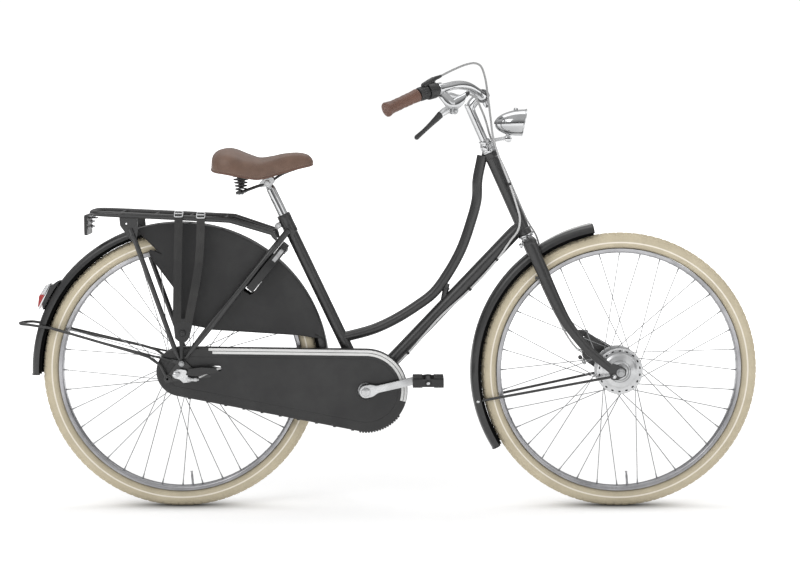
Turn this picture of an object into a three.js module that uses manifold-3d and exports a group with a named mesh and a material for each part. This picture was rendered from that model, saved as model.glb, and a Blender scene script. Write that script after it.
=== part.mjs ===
// Dutch city bike: a swan-neck roadster with chaincase, carrier, coat guards and twist-grip gears.
// Millimetres. +X is the way the bike rides, -Y is the chain side, +Z is up, and the ground is Z = 0.
// Places are set from the rear axle; at the end the bike moves so that X = 0 is the middle of its length.

import * as THREE from "three";
import { mergeVertices } from "three/addons/utils/BufferGeometryUtils.js";
import Module from "manifold-3d";

const radians = THREE.MathUtils.degToRad;

// Stance
const wheelbase = 1137;
const tyreRadius = 358;
const bracketX = 481;
const bracketHeight = 311;
const headAngle = radians(65.7);
const seatAngle = radians(64.6);
const forkRake = 76.7;

// Clearances
const seatGap = 0.3;
const runningGap = 1;
const overrun = 6;

// Wheels
const tyreHalfWidth = 23.5;
const tyreDepth = 40.4;
const tyreSeatRadius = tyreRadius - tyreDepth;
const tyreShares = [[0, 0.6], [0.22, 0.92], [0.55, 1], [0.86, 0.66]];
const rimSeatGap = 0.6;
const rimFlangeRadius = tyreSeatRadius - rimSeatGap;
const rimWellDepth = 6;
const rimWellRadius = rimFlangeRadius - rimWellDepth;
const rimShoulderDepth = 8;
const rimShoulderRadius = rimFlangeRadius - rimShoulderDepth;
const rimDepth = 11.5;
const rimInnerRadius = rimFlangeRadius - rimDepth;
const rimHalfWidth = 15;
const rimWall = 2.5;
const rimNoseHalfWidth = 9;
const wheelSegments = 36;
const spokeCount = 36;
const spokeRadius = 1;
const spokeEndGap = 0.6;
const spokeSplay = 3;
const spokeHeadOffset = 1.3;
const valveRadius = 3;
const valveLength = 36;

// Hubs and axles
const hubBore = 8;
const hubSegments = 18;
const spokeHole = { front: 54, rear: 29 };
const frontHubProfile = [
  [hubBore, -46], [12, -46], [21, -42], [24, -38], [41, -36], [47, -31.5], [60, -31.5], [60, -28.5],
  [47, -28.5], [47, 28.5], [60, 28.5], [60, 31.5], [hubBore, 31.5], [hubBore, -46],
];
const rearHubProfile = [
  [hubBore, -34], [20, -34], [24, -28.5], [33, -28.5], [33, -25.5], [24, -25.5], [24, 25.5], [33, 25.5],
  [33, 28.5], [31, 31], [26, 40], [hubBore, 40], [hubBore, -34],
];
const frontFlangeY = 30;
const rearFlangeY = 27;
const axleRadius = 5;
const axleNutRadius = 9;
const axleNutLength = 8;
const axleConeRadius = 7;
const frontAxleHalf = 70;
const frontNutY = 58.8;
const frontCones = [[-51.2, -46.5], [31.9, 51.2]];
const rearAxleEnds = [-92, 82];
const rearNutY = 69.3;
const rearCones = [[-63.7, -35], [40.5, 63.7]];

// Frame tubes
const headTubeRadius = 16;
const headTubeBore = 14.2;
const headTubeFoot = 423;
const headTubeLength = 218;
const headLugRadius = 18;
const headLugLength = 14;
const downTubeRadius = 18;
const downTubeAlong = 448;
const topTubeRadius = 13.5;
const bridgeRadius = 8;
const bridgeAlong = 286;
const bridgeTopPlace = [690, 0, 583];
const topTubeLine = [
  [776, 896], [768.5, 850], [766.5, 800], [751, 740], [727, 672], [694, 611], [656, 559], [612, 525],
  [556, 490], [499.6, 464], [434.6, 446], [412, 441],
];
const seatTubeRadius = 15;
const seatTubeBore = 13;
const seatTubeLength = 500;
const seatLugRadius = 17.5;
const seatLugLength = 52;
const shellRadius = 21;
const shellBore = 17;
const shellHalf = 34;
const cupLength = 9;
const cupBore = 9.4;
const seatBolt = { drop: 21, back: 24, earRadius: 8, earHalf: 9, shank: 3.5, head: 7, half: 14 };
const dropoutInnerY = 64;
const dropoutThickness = 5;
const eyelet = [9, 384];
const standPivot = [-28, 344];
const eyeHole = 3.4;
const dropoutLine = [
  [76, 348], [76, 362], [40, 366], [19, 388], [16, 393], [3, 393], [-4, 384], [-24, 358], [-37, 350],
  [-37, 337], [-26, 334], [-8, 338], [18, 338],
];
const chainStayLine = [[472, -26, 313], [421, -36, 319], [110, -52.8, 347], [56, -62.4, 354]];
const chainStaySections = [[11, 7], [11, 7], [9, 6], [7, 3.6]];
const chainStayBridge = { x: 403, z: 322, radius: 6, half: 33 };
const seatStayLine = [
  [280, -18, 721], [258, -36, 694], [244, -46, 677], [84, -62, 481], [44, -66.6, 431], [30, -66.8, 414],
  [18, -66.6, 398],
];
const seatStaySections = [[8, 8], [8, 8], [8, 8], [8, 8], [8, 4.4], [8, 4.4], [5, 2.3]];
const seatStayBridge = { x: 243, z: 676, radius: 6, half: 44 };

// Fork, headset and front brake plate
const bladeLine = [
  [398, 0, 42], [305, -1, 47], [230, -1, 51], [175, 2, 53.5], [100, 20, 54], [68, 33, 54], [15, 59, 54],
];
const bladeSections = [[16, 10.5], [14.5, 10], [13, 9], [12, 8], [10.5, 7], [9.5, 6], [9, 4]];
const forkTipLine = [[1103, 372], [1112, 340], [1128, 338], [1150, 350], [1152, 366], [1140, 374], [1116, 382]];
const forkTipY = [51.5, 58.5];
const crownAlong = 400;
const crownHalf = 51;
const crownSection = [19, 13];
const crownShares = [[-1, 0.72], [-0.85, 0.94], [0, 1], [0.85, 0.94], [1, 0.72]];
const steererRadius = 12.9;
const steererBore = 11.4;
const steererTop = 661;
const forkLug = { size: [36, 12, 16], centre: [1044, 46.4, 448] };
const lowerCup = { foot: 413.4, top: 422.7, radius: 20.5 };
const upperCup = { foot: 641.3, top: 650, radius: 20.5 };
const headNut = { foot: 651, neck: 663.5, capFoot: 667.5, top: 677, radius: 17.5, sleeve: 14.2, capRadius: 15 };
const brakePlateY = [33, 38];
const brakePlateRadius = 50;
const brakeArmLine = [
  [1060, 372], [1048, 384], [1043, 398], [1050, 408], [1064, 410], [1084, 398], [1048, 446], [1050, 456], [1062, 456], [1126, 404], [1160, 394], [1160, 330],
  [1120, 330],
];

// Stem and handlebar
const quillRadius = 11;
const quillFoot = 600;
const quillTop = 786;
const stemNeckLine = [[764, 0, 0], [780, 6, 0], [791, 26, 0], [793, 42, 0]];
const stemNeckSections = [[10, 9], [13, 11], [13, 12], [13, 15]];
const stemClampRadius = 18;
const stemClampHalf = 20;
const stemBolt = { radius: 6, from: 12, to: 31 };
const barRadius = 11.1;
const barLine = [
  [534.9, -290, 1032.7], [573.8, -265, 1050.8], [612.7, -240, 1068.9], [648, -214, 1080], [680, -188, 1087],
  [712, -150, 1093.5], [738, -112, 1090.5], [760, -72, 1079], [776, -38, 1068.3], [779.3, -18, 1066.8],
];
const gripProfile = [[0, -3], [14, -3], [18, 0], [18, 6], [15.5, 13], [15, 50], [16, 98], [0, 98]];
const gripLength = 98;
const farGripLength = 136;
const gripFlareEnd = 6;
const twist = { from: 100.5, to: 126.5, radius: 17.5, bore: 11.9, seat: 18.3 };
const shifter = { from: 128.5, to: 157, radius: 20.5 };
const shifterBox = { at: 140, length: 46, width: 18, height: 15, rise: 19 };
const leverClamp = { from: 160, to: 173, radius: 15.5 };

// Brake lever
const leverBodyLine = [[674, -196, 1074], [686, -200, 1052], [697, -203, 1040], [714, -188, 1052], [731, -172, 1068]];
const leverBodySections = [[8, 6], [7, 7.5], [7, 8], [7, 7.5], [6, 6]];
const leverBladeLine = [[700, -200.5, 1031], [689, -207.5, 1019], [672, -219, 1005], [638, -240, 983], [606, -260, 962]];
const leverBladeSections = [[5, 3.4], [6, 3.4], [6, 4], [5.5, 4.5], [6, 5]];
const leverAxis = [-0.545, 0.838, 0.014];
const leverPivot = [700, -200.5, 1031];
const leverEye = { radius: 7, bore: 3.6, half: 3.6 };
const leverPin = { radius: 2.8, half: 8.5 };
const leverCheek = { radius: 9, half: 8 };
const leverSlot = { radius: 12, half: 4.2 };

// Saddle and seat post
const postRadius = 12.6;
const postBore = 10.8;
const postFoot = 350;
const postShoulder = 574;
const postTop = 606;
const postNeckRadius = 10.3;
const saddleStations = [
  [86.4, 876, 898, 40, 0.3], [91, 872, 915, 74, 0.7], [112, 871, 928, 96, 0.9], [144, 866, 933, 102, 1],
  [180, 859, 922, 94, 1], [208, 854, 911, 76, 1], [240, 861, 909, 56, 1], [275, 871, 914, 41, 1],
  [304, 880, 920, 33, 1], [330, 886, 915, 26, 0.7], [344.6, 890, 904, 12, 0.3],
];
const saddleRecess = 9;
const saddleRecessShare = 0.86;
const saddleRoundness = 0.62;
const springAxis = [159, -54];
const springFoot = 826;
const springTop = 867;
const springFootRadius = 9;
const springTopRadius = 17;
const springWire = 2;
const springTurns = 5;
const springSteps = 8;
const springSides = 5;
const railLine = [[163, -47, 821], [198, -30, 834], [232, -22, 846], [268, -15, 868], [306, -8, 882]];
const railRadius = 3.4;
const yoke = { centre: [160, 0, 820.4], size: [22, 122, 4.6] };
const postClampLine = [[207, 836], [212, 832], [240, 839], [246, 846], [245, 856], [240, 859], [214, 852], [208, 845]];
const postClampHalf = 27;

// Drive
const chainPitch = 12.7;
const ringTeeth = 38;
const sprocketTeeth = 19;
const toothHalf = 1.1;
const toothRise = 2.5;
const toothFall = 4.2;
const chainLineY = 47;
const chainPlates = [2, 3.2];
const chainPlateHalf = 4.5;
const rollerRadius = 3.6;
const rollerStep = 2;
const rollerClear = { ring: 36, sprocket: 27 };
const ringWindows = { radius: 15.5, at: 45, count: 5 };
const ringBore = 16.9;
const driver = { outer: 19, bore: 8.6, from: 34.5, to: 48.1 };
const spindleRadius = 8.4;
const spindleHalf = 82;
const crankLength = 163;
const crankPitch = radians(12.9);
const crankArmY = [66.5, 79.5];
const crankBossRadius = 16;
const crankBossY = { right: 45.6, left: 40 };
const crankTipRadius = 12;
const crankBore = 8.7;
const pedalAxle = { radius: 4.5, end: 176 };
const pedalHalfLength = 39;
const pedalY = [86, 172];
const pedalBarrel = { radius: 9, bore: 5.5 };
const pedalBlock = { halfHeight: 12.5, width: 24 };
const pedalPlate = 4;

// Chaincase
const caseY = [33.5, 61];
const caseWall = 1.6;
const caseRear = { x: 5.6, z: 360.4, radius: 64 };
const caseFront = { x: 481, z: 311.1, radius: 107 };
const caseArcSteps = 14;
const caseLip = 18;
const caseCrankHole = 21;
const caseAxleHole = 13;
const caseStaySlot = { from: 14, to: 108, low: 338, high: 377 };
const trimY = [60.4, 62.2];
const trimDepth = 17;
const trimInset = 2;
const trimFrom = 73;
const trimTo = 560;

// Mudguards, stays and stand
const guardClearance = 10;
const guardRises = [[0, 28.6], [9, 28.4], [16, 18], [18.5, 0]];
const guardProfile = guardRises.map(([rise, half]) => [tyreRadius + guardClearance + rise, half]);
const guardWall = 1.4;
const rearGuardArc = [radians(-17), radians(181.5)];
const frontGuardArc = [radians(100.8), radians(212.3)];
const guardStep = radians(9);
const guardStayRadius = 2.4;
const guardStayArch = [[350, -27.4], [366, -24.6], [372, -24.2], [379, -10]];
const rearStayAngle = radians(161.6);
const frontStayAngle = radians(192.4);
const rearStayLine = [[-14, -70.55, 390], [-30, -70.2, 394], [-60, -66.4, 401]];
const rearStayTongue = [[13, 380], [13, 389], [-18, 395], [-21, 388], [3, 380]];
const rearStayY = [69.3, 71.8];
const frontStayLine = [[1118, -61.6, 348.4]];
const frontStayEye = { place: [1120, 348], radius: 7, from: 58.9, to: 63 };
const standLine = [
  [-32, -73.1, 351.2], [-46, -73.4, 380], [-76, -73.4, 401], [-110, -72, 412], [-330, -38, 471], [-392, -36, 480],
  [-412, -26, 480], [-418.4, 0, 480],
];
const standRadius = 3.6;
const standBend = 18;
const standEye = { radius: 10, from: 69.4, to: 75.4 };
const standPin = { radius: 3, bore: 3.8, head: 6.5, headFrom: 75.8, to: 78.4 };

// Coat guards
const coatGuardY = [28.95, 30.15];
const coatGuardRise = 25;
const coatGuardRadius = tyreRadius + coatGuardRise;
const coatGuardArc = [radians(12.5), radians(106.5)];
const coatGuardLine = [
  [-98.1, 689.9], [-12.1, 573], [-10.7, 486.3], [61, 472.8], [81.6, 467.1], [311.1, 452.3],
];
const coatGuardSlot = [
  [160, 578], [166, 566], [181, 556], [190, 560], [213, 590], [206, 594], [192, 577], [184, 573], [172, 581],
  [166, 587],
];

// Carrier, straps and reflector
const carrierLine = [
  [-219, 0, 762.5], [-217, -48, 762.5], [-204, -68, 762], [-140, -77, 759], [0, -77, 752], [136, -77, 744.5],
  [242, -52, 716],
];
const carrierRadius = 7;
const carrierFootEnd = [252, -46, 699];
const carrierFootRadius = 3;
const carrierRungs = [[-150, 759.5], [-62, 755], [28, 750.5], [118, 745.5]];
const rungRadius = 3.5;
const rungHalf = 75;
const bracketPlate = [[-146, 756], [-101, 754], [-98, 728], [-102, 704], [-116, 700], [-144, 738]];
const bracketPlateY = [73, 76];
const carrierStayLine = [[-118, -75.5, 730], [-106, -75.5, 700], [-16, -77, 444], [-5, -77.9, 414]];
const carrierStayRadius = 6.5;
const carrierBend = 34;
const carrierStayBend = 30;
const carrierStayTip = [7, -77.9, 388.5];
const carrierStayTipRadius = 1.5;
const carrierEye = { radius: 8, from: 76.4, to: 79.4 };
const carrierStud = { radius: 3, from: 62.8, head: 7, headTo: 87 };
const strapHalfWidth = 10.5;
const strapThickness = 2.2;
const strapLines = [
  [[6.5, -70, 763], [6.5, -82, 761.5], [6.5, -87, 755], [6.5, -87, 742], [3, -86.5, 640], [-1, -84.5, 490]],
  [[62.8, -70, 760], [62.8, -82, 758.5], [62.8, -87, 752], [62.8, -87, 739], [56, -86.5, 640], [28, -84.5, 490]],
];
const buckle = { half: 13, wire: 2.6, inner: 46, outer: 72 };
const anchorLine = [
  [-16, 496], [40, 496], [38, 474], [26, 448], [17, 420], [16, 396], [6, 396], [5, 410], [0, 430],
  [-6, 452],
];
const anchorPlateY = [80.7, 85.6];
const anchorKnob = { place: [13.2, 463.9], radius: 7.5, to: 91 };
const reflectorBox = { size: [10, 88, 52], centre: [-238, 0, 737] };
const reflectorArm = { size: [22, 16, 3], centre: [-223, 0, 753.6] };

// Ring lock
const lockPlace = [215, 641];
const lockLean = radians(50.8);
const lockInner = 46;
const lockOuter = 67;
const lockLegOuter = 62;
const lockLegDrop = 74;
const lockBack = 8.4;
const lockFront = 29;
const lockSteps = 10;
const lockHouse = { half: 33, from: 56, to: 71, front: 27 };

// Lights, in degrees and distances around the rear axle for the tail light
const lampTip = [811, 998];
const lampProfile = [[8, 2], [16, 8], [24, 20], [30.5, 38], [33.6, 56], [34.5, 78]];
const lampWall = 2;
const lampLean = 0.18;
const lampSides = 14;
const lensInset = 3;
const lensThickness = 3;
const lampKnob = { place: [847, 957], radius: 8.5, from: -12, to: 12 };
const lampStrap = { half: 8, thickness: 2.6, from: 15.8, ringRadius: 17, ringBore: 14.6, foot: 663.9, top: 667 };
const lampStrapEnd = [851, 979];
const tailBase = [
  [143, 387.1], [147, 387.1], [151, 387.1], [155, 387.1], [159, 387.1], [158.5, 390], [156, 396.5], [147, 400],
  [144, 394],
];
const tailLens = [[147, 400.4], [156, 396.9], [155.5, 404], [152, 412.5], [147.3, 411.5], [145.8, 404]];
const tailHalf = 22;

// Cables
const cableRadius = 2.2;
const cableSides = 5;
const gearFrontLine = [
  [664, -206, 1113], [700, -178, 1131], [735, -142, 1145], [758, -112, 1148], [773, -88, 1140], [784, -70, 1112],
  [792, -54, 1065], [799, -42, 1015], [807, -34, 960], [819, -28, 922], [830.5, -25, 891],
];
const gearFrameLine = [
  [830.75, -24.95, 890.3], [850, -23, 842], [866, -22.5, 795], [877, -22.5, 752], [872, -24, 722], [853, -24.5, 696],
  [818, -16, 645], [750, -15, 569], [672.6, -20, 498], [589.5, -21, 404], [546, -24, 363],
  [508, -27.5, 346], [462, -32, 342], [400, -39.5, 346], [300, -44, 351], [200, -49.5, 361], [135, -53, 368],
  [112, -54.6, 369], [96, -62, 367], [80, -74, 361], [54, -86, 350],
];
const brakeCableLine = [
  [737, -166, 1073], [757, -128, 1062], [775, -70, 1032], [789, -14, 1002], [801, 16, 965], [818, 23, 925],
  [836, 26, 888], [866, 28, 820], [898, 31, 748], [924, 38, 704], [936, 58, 664], [950, 64.5, 600],
  [972, 65, 520], [1002, 63, 450], [1036, 50, 404], [1053, 42, 397],
];
const cableStopLine = [[1046, 388], [1044, 400], [1062, 408], [1066, 392]];
const cableStopY = [38.4, 44];

// Gear linkage at the rear axle
const linkPlateY = [77.6, 82.6];
const linkLine = [
  [-18, 350], [-14, 364], [6, 369], [18, 362], [24, 350], [40, 350], [40, 338], [14, 336], [-8, 344],
];
const linkBarrel = { from: 24, to: 50, z: 344, y: -86, radius: 5.2 };

// Finishes
const finishes = {
  blackPaint: { color: 0x2b2b2b, roughness: 0.35, metalness: 0.2 },
  blackPlastic: { color: 0x262626, roughness: 0.55, metalness: 0 },
  chrome: { color: 0xd4d6d8, roughness: 0.15, metalness: 1 },
  alloy: { color: 0xb9bbbd, roughness: 0.35, metalness: 0.9 },
  steel: { color: 0x8d9094, roughness: 0.4, metalness: 0.9 },
  tyreRubber: { color: 0xc8bb9e, roughness: 0.75, metalness: 0 },
  leather: { color: 0x6e5244, roughness: 0.55, metalness: 0 },
  strapRubber: { color: 0x303030, roughness: 0.8, metalness: 0 },
  cableGrey: { color: 0xb5b5b5, roughness: 0.5, metalness: 0.2 },
  redLens: { color: 0xb01c18, roughness: 0.2, metalness: 0 },
  clearLens: { color: 0xe8ecee, roughness: 0.05, metalness: 0 },
};

const wasm = await Module();
wasm.setup();

const bike = new THREE.Group();
const v3 = (x, y, z) => new THREE.Vector3(x, y, z);
const v2 = (x, y) => new THREE.Vector2(x, y);
const sideways = v3(0, 1, 0);
const at3 = ([x, y, z]) => v3(x, y, z);
const at2 = ([x, z]) => v2(x, z);

function bare(geometry) {
  const shape = geometry.clone();
  shape.deleteAttribute("normal");
  shape.deleteAttribute("uv");
  return shape;
}

// Turns a closed mesh so that its faces point out.
function facingOut(geometry) {
  const shape = mergeVertices(bare(geometry), 1e-4);
  const places = shape.attributes.position;
  const index = Array.from(shape.index.array);
  const [a, b, c] = [v3(0, 0, 0), v3(0, 0, 0), v3(0, 0, 0)];
  let volume = 0;
  for (let i = 0; i < index.length; i += 3) {
    a.fromBufferAttribute(places, index[i]);
    b.fromBufferAttribute(places, index[i + 1]);
    c.fromBufferAttribute(places, index[i + 2]);
    volume += a.dot(b.cross(c));
  }
  if (volume < 0) {
    for (let i = 0; i < index.length; i += 3) {
      [index[i + 1], index[i + 2]] = [index[i + 2], index[i + 1]];
    }
  }
  shape.setIndex(index);
  return shape;
}

function solidOf(geometry) {
  const shape = facingOut(geometry);
  return new wasm.Manifold(new wasm.Mesh({
    numProp: 3,
    vertProperties: new Float32Array(shape.attributes.position.array),
    triVerts: new Uint32Array(shape.index.array),
  }));
}

function geometryOf(solid) {
  const mesh = solid.getMesh();
  const geometry = new THREE.BufferGeometry();
  geometry.setAttribute("position", new THREE.BufferAttribute(Float32Array.from(mesh.vertProperties), 3));
  geometry.setIndex(Array.from(mesh.triVerts));
  return geometry;
}

function joined(...geometries) {
  return geometryOf(geometries.map(solidOf).reduce((sum, next) => sum.add(next)));
}

function cutBy(geometry, ...tools) {
  return geometryOf(tools.map(solidOf).reduce((rest, tool) => rest.subtract(tool), solidOf(geometry)));
}

function mirrored(geometry) {
  return facingOut(geometry.clone().scale(1, -1, 1));
}

function addPiece(name, geometry, finish) {
  const shape = facingOut(geometry);
  shape.computeVertexNormals();
  const mesh = new THREE.Mesh(shape, new THREE.MeshStandardMaterial(finishes[finish]));
  mesh.name = name;
  bike.add(mesh);
}

// A closed body through rings of points; the contour says how its two ends are filled.
function loft(rings, contour) {
  const count = rings[0].length;
  const positions = rings.flat().flatMap((point) => [point.x, point.y, point.z]);
  const index = [];
  for (let i = 0; i < rings.length - 1; i += 1) {
    for (let j = 0; j < count; j += 1) {
      const a = i * count + j;
      const b = i * count + ((j + 1) % count);
      index.push(a, a + count, b + count, a, b + count, b);
    }
  }
  const last = (rings.length - 1) * count;
  const clockwise = THREE.ShapeUtils.isClockWise(contour);
  for (const [p, q, r] of THREE.ShapeUtils.triangulateShape(contour, [])) {
    const face = clockwise ? [p, r, q] : [p, q, r];
    index.push(...face, ...face.reverse().map((k) => last + k));
  }
  const geometry = new THREE.BufferGeometry();
  geometry.setAttribute("position", new THREE.Float32BufferAttribute(positions, 3));
  geometry.setIndex(index);
  return facingOut(geometry);
}

function circle(radius, sides) {
  return Array.from({ length: sides }, (_, i) => {
    const angle = (i / sides) * Math.PI * 2;
    return v2(Math.cos(angle) * radius, Math.sin(angle) * radius);
  });
}

function ellipse([halfOut, halfSide], sides) {
  return circle(1, sides).map((point) => v2(point.x * halfOut, point.y * halfSide));
}

// Directions along a line of points, one for each point.
function headings(points) {
  return points.map((point, i) => {
    const before = points[Math.max(i - 1, 0)];
    const after = points[Math.min(i + 1, points.length - 1)];
    return after.clone().sub(before).normalize();
  });
}

// Sweeps one contour for each point; a contour's Y lies as near to the side as it can.
function sweep(points, contours, side = sideways) {
  const rings = headings(points).map((along, i) => {
    const across = side.clone().addScaledVector(along, -side.dot(along)).normalize();
    const out = across.clone().cross(along);
    return contours[i].map((q) => points[i].clone().addScaledVector(out, q.x).addScaledVector(across, q.y));
  });
  return loft(rings, contours[0]);
}

// Rounds the corners of a line of points, with the given number of chords in each bend.
function rounded(points, radius, chords) {
  const path = [points[0]];
  for (let i = 1; i < points.length - 1; i += 1) {
    const back = points[i - 1].clone().sub(points[i]);
    const ahead = points[i + 1].clone().sub(points[i]);
    const reach = Math.min(radius, back.length() / 2, ahead.length() / 2);
    const start = points[i].clone().addScaledVector(back.normalize(), reach);
    const end = points[i].clone().addScaledVector(ahead.normalize(), reach);
    path.push(...new THREE.QuadraticBezierCurve3(start, points[i], end).getPoints(chords));
  }
  path.push(points[points.length - 1]);
  return path.filter((point, i) => i === 0 || point.distanceTo(path[i - 1]) > seatGap);
}

function curveOf(line) {
  return new THREE.CatmullRomCurve3(line.map(at3), false, "centripetal");
}

// A round bar bent along points, turned as little as it can from ring to ring.
function bentRod(points, radius, sides) {
  const contour = circle(radius, sides);
  const along = headings(points);
  let side = Math.abs(along[0].y) < 0.9 ? v3(0, 1, 0) : v3(1, 0, 0);
  const rings = along.map((heading, i) => {
    side = side.clone().addScaledVector(heading, -side.dot(heading)).normalize();
    const out = side.clone().cross(heading);
    return contour.map((q) => points[i].clone().addScaledVector(out, q.x).addScaledVector(side, q.y));
  });
  return loft(rings, contour);
}

// A round bar between two places; the end may differ from the start.
function rod(from, to, radius, sides, endRadius = radius) {
  const along = to.clone().sub(from);
  const bar = new THREE.CylinderGeometry(endRadius, radius, along.length(), sides);
  const turn = new THREE.Quaternion().setFromUnitVectors(sideways, along.clone().normalize());
  const middle = from.clone().add(to).multiplyScalar(0.5);
  return bar.applyQuaternion(turn).translate(middle.x, middle.y, middle.z);
}

// A turned body along a line: profile points are distance from the line and distance along it.
function turned(from, direction, profile, sides) {
  const body = new THREE.LatheGeometry(profile.map(at2), sides);
  const turn = new THREE.Quaternion().setFromUnitVectors(sideways, direction.clone().normalize());
  return body.applyQuaternion(turn).translate(from.x, from.y, from.z);
}

function ring(from, to, outer, inner, sides) {
  const along = to.clone().sub(from);
  const length = along.length();
  return turned(from, along, [[inner, 0], [outer, 0], [outer, length], [inner, length], [inner, 0]], sides);
}

// A plate with its outline in X and Z, between two distances to the near side.
function plate(outline, [from, to], holes = []) {
  const shape = new THREE.Shape(outline.map((point) => (Array.isArray(point) ? at2(point) : point)));
  shape.holes = holes.map((hole) => new THREE.Path(hole));
  const body = new THREE.ExtrudeGeometry(shape, { depth: Math.abs(to - from), bevelEnabled: false });
  return body.rotateX(Math.PI / 2).translate(0, -Math.min(from, to), 0);
}

function disc([x, z], radius, sides) {
  return circle(radius, sides).map((q) => v2(q.x + x, q.y + z));
}

function box([x, y, z], centre) {
  return new THREE.BoxGeometry(x, y, z).translate(...centre);
}

// Places on the bike
const rearAxle = v3(0, 0, tyreRadius);
const frontAxle = v3(wheelbase, 0, tyreRadius);
const bracket = v3(bracketX, 0, bracketHeight);
const steerUp = v3(-Math.cos(headAngle), 0, Math.sin(headAngle));
const steerOut = v3(Math.sin(headAngle), 0, Math.cos(headAngle));
const steerFoot = frontAxle.clone().addScaledVector(steerOut, -forkRake);
const seatUp = v3(-Math.cos(seatAngle), 0, Math.sin(seatAngle));
const seatOut = v3(Math.sin(seatAngle), 0, Math.cos(seatAngle));

// Places by their distance along the steering axis or the seat tube, forward of it and to the side.
function onSteer(along, forward = 0, side = 0) {
  return steerFoot.clone().addScaledVector(steerUp, along).addScaledVector(steerOut, forward).add(v3(0, side, 0));
}

function onSeat(along, forward = 0) {
  return bracket.clone().addScaledVector(seatUp, along).addScaledVector(seatOut, forward);
}

// A place around a wheel, by its angle from forward, its distance from the axle and its side.
function onWheel(axle, angle, radius, side = 0) {
  return v3(axle.x + Math.cos(angle) * radius, side, axle.z + Math.sin(angle) * radius);
}

// A round bar across the bike between two Y values.
function cross(place, from, to, radius, sides) {
  return rod(v3(place.x, from, place.z), v3(place.x, to, place.z), radius, sides);
}

const bothSides = (shape) => [shape, mirrored(shape)];

// Wheels: a turned tyre on a rim, and a hub laced with tangent spokes.
function makeTyre(axle) {
  const depth = tyreRadius - tyreSeatRadius;
  const side = tyreShares.map(([rise, reach]) => v2(tyreSeatRadius + depth * rise, tyreHalfWidth * reach));
  const other = side.map((point) => v2(point.x, -point.y)).reverse();
  const profile = [...side, v2(tyreRadius, 0), ...other, side[0]];
  return new THREE.LatheGeometry(profile, wheelSegments).translate(axle.x, 0, axle.z);
}

function makeRim(axle) {
  const well = rimHalfWidth - rimWall;
  const profile = [
    [rimFlangeRadius, rimHalfWidth], [rimFlangeRadius, well], [rimWellRadius, well], [rimWellRadius, -well],
    [rimFlangeRadius, -well], [rimFlangeRadius, -rimHalfWidth], [rimShoulderRadius, -rimHalfWidth],
    [rimInnerRadius, -rimNoseHalfWidth], [rimInnerRadius, rimNoseHalfWidth], [rimShoulderRadius, rimHalfWidth],
    [rimFlangeRadius, rimHalfWidth],
  ];
  const hoop = turned(axle, sideways, profile, wheelSegments);
  const down = -Math.PI / 2 + Math.PI / spokeCount;
  const root = onWheel(axle, down, rimWellRadius - rimWall);
  return joined(hoop, rod(root, onWheel(axle, down, rimInnerRadius - valveLength), valveRadius, 6));
}

function makeHub(axle, profile, holeRadius, flangeY, crossing) {
  const parts = [turned(axle, sideways, profile, hubSegments)];
  const step = (Math.PI * 4) / spokeCount;
  const rimRadius = rimInnerRadius - spokeEndGap;
  for (const hand of [-1, 1]) {
    for (let i = 0; i < spokeCount / 2; i += 1) {
      const lead = i % 2 ? 1 : -1;
      const hubTurn = i * step + (hand > 0 ? step / 2 : 0);
      const from = onWheel(axle, hubTurn, holeRadius, hand * (flangeY + lead * spokeHeadOffset));
      const to = onWheel(axle, hubTurn + lead * crossing * step, rimRadius, hand * spokeSplay);
      parts.push(bentRod([from, to], spokeRadius, 3));
    }
  }
  return joined(...parts);
}

addPiece("front_tyre", makeTyre(frontAxle), "tyreRubber");
addPiece("front_rim", makeRim(frontAxle), "alloy");
addPiece("front_hub_spokes", makeHub(frontAxle, frontHubProfile, spokeHole.front, frontFlangeY, 2), "alloy");
addPiece("rear_tyre", makeTyre(rearAxle), "tyreRubber");
addPiece("rear_rim", makeRim(rearAxle), "alloy");
addPiece("rear_hub_spokes", makeHub(rearAxle, rearHubProfile, spokeHole.rear, rearFlangeY, 3), "alloy");

// Frame: lugged steel tubes brazed where they meet, each cut round its neighbour.
const headFoot = onSteer(headTubeFoot);
addPiece("head_tube", turned(headFoot, steerUp, [
  [headTubeBore, 0], [headLugRadius, 0], [headLugRadius, headLugLength], [headTubeRadius, headLugLength],
  [headTubeRadius, headTubeLength - headLugLength], [headLugRadius, headTubeLength - headLugLength],
  [headLugRadius, headTubeLength], [headTubeBore, headTubeLength], [headTubeBore, 0],
], 16), "blackPaint");

const headBeyond = onSteer(headTubeFoot + headTubeLength + overrun);
const headSpace = rod(onSteer(headTubeFoot - overrun), headBeyond, headTubeRadius + seatGap, 16);
const headLugSpace = rod(onSteer(headTubeFoot + headTubeLength - headLugLength - seatGap), headBeyond,
  headLugRadius + seatGap, 16);
const footLugSpace = rod(onSteer(headTubeFoot - overrun), onSteer(headTubeFoot + headLugLength + seatGap),
  headLugRadius + seatGap, 16);
const shellSpace = cross(bracket, -shellHalf - overrun, shellHalf + overrun, shellRadius + seatGap, 16);
const downTubeEnd = onSteer(downTubeAlong);
const lowerCupSpace = rod(onSteer(lowerCup.foot - overrun), onSteer(headTubeFoot + seatGap),
  lowerCup.radius + seatGap, 16);
const seatTubeTop = onSeat(seatTubeLength);
const seatTubeSpace = rod(onSeat(0), seatTubeTop, seatTubeRadius + seatGap, 16);
addPiece("down_tube", cutBy(rod(bracket, downTubeEnd, downTubeRadius, 12), headSpace, footLugSpace, lowerCupSpace,
  shellSpace, seatTubeSpace), "blackPaint");

const cupInner = shellHalf - cupLength;
addPiece("bottom_bracket_shell", turned(bracket, sideways, [
  [cupBore, -shellHalf], [shellRadius, -shellHalf], [shellRadius, shellHalf], [cupBore, shellHalf],
  [cupBore, cupInner], [shellBore, cupInner], [shellBore, -cupInner], [cupBore, -cupInner], [cupBore, -shellHalf],
], 16), "blackPaint");

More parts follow.
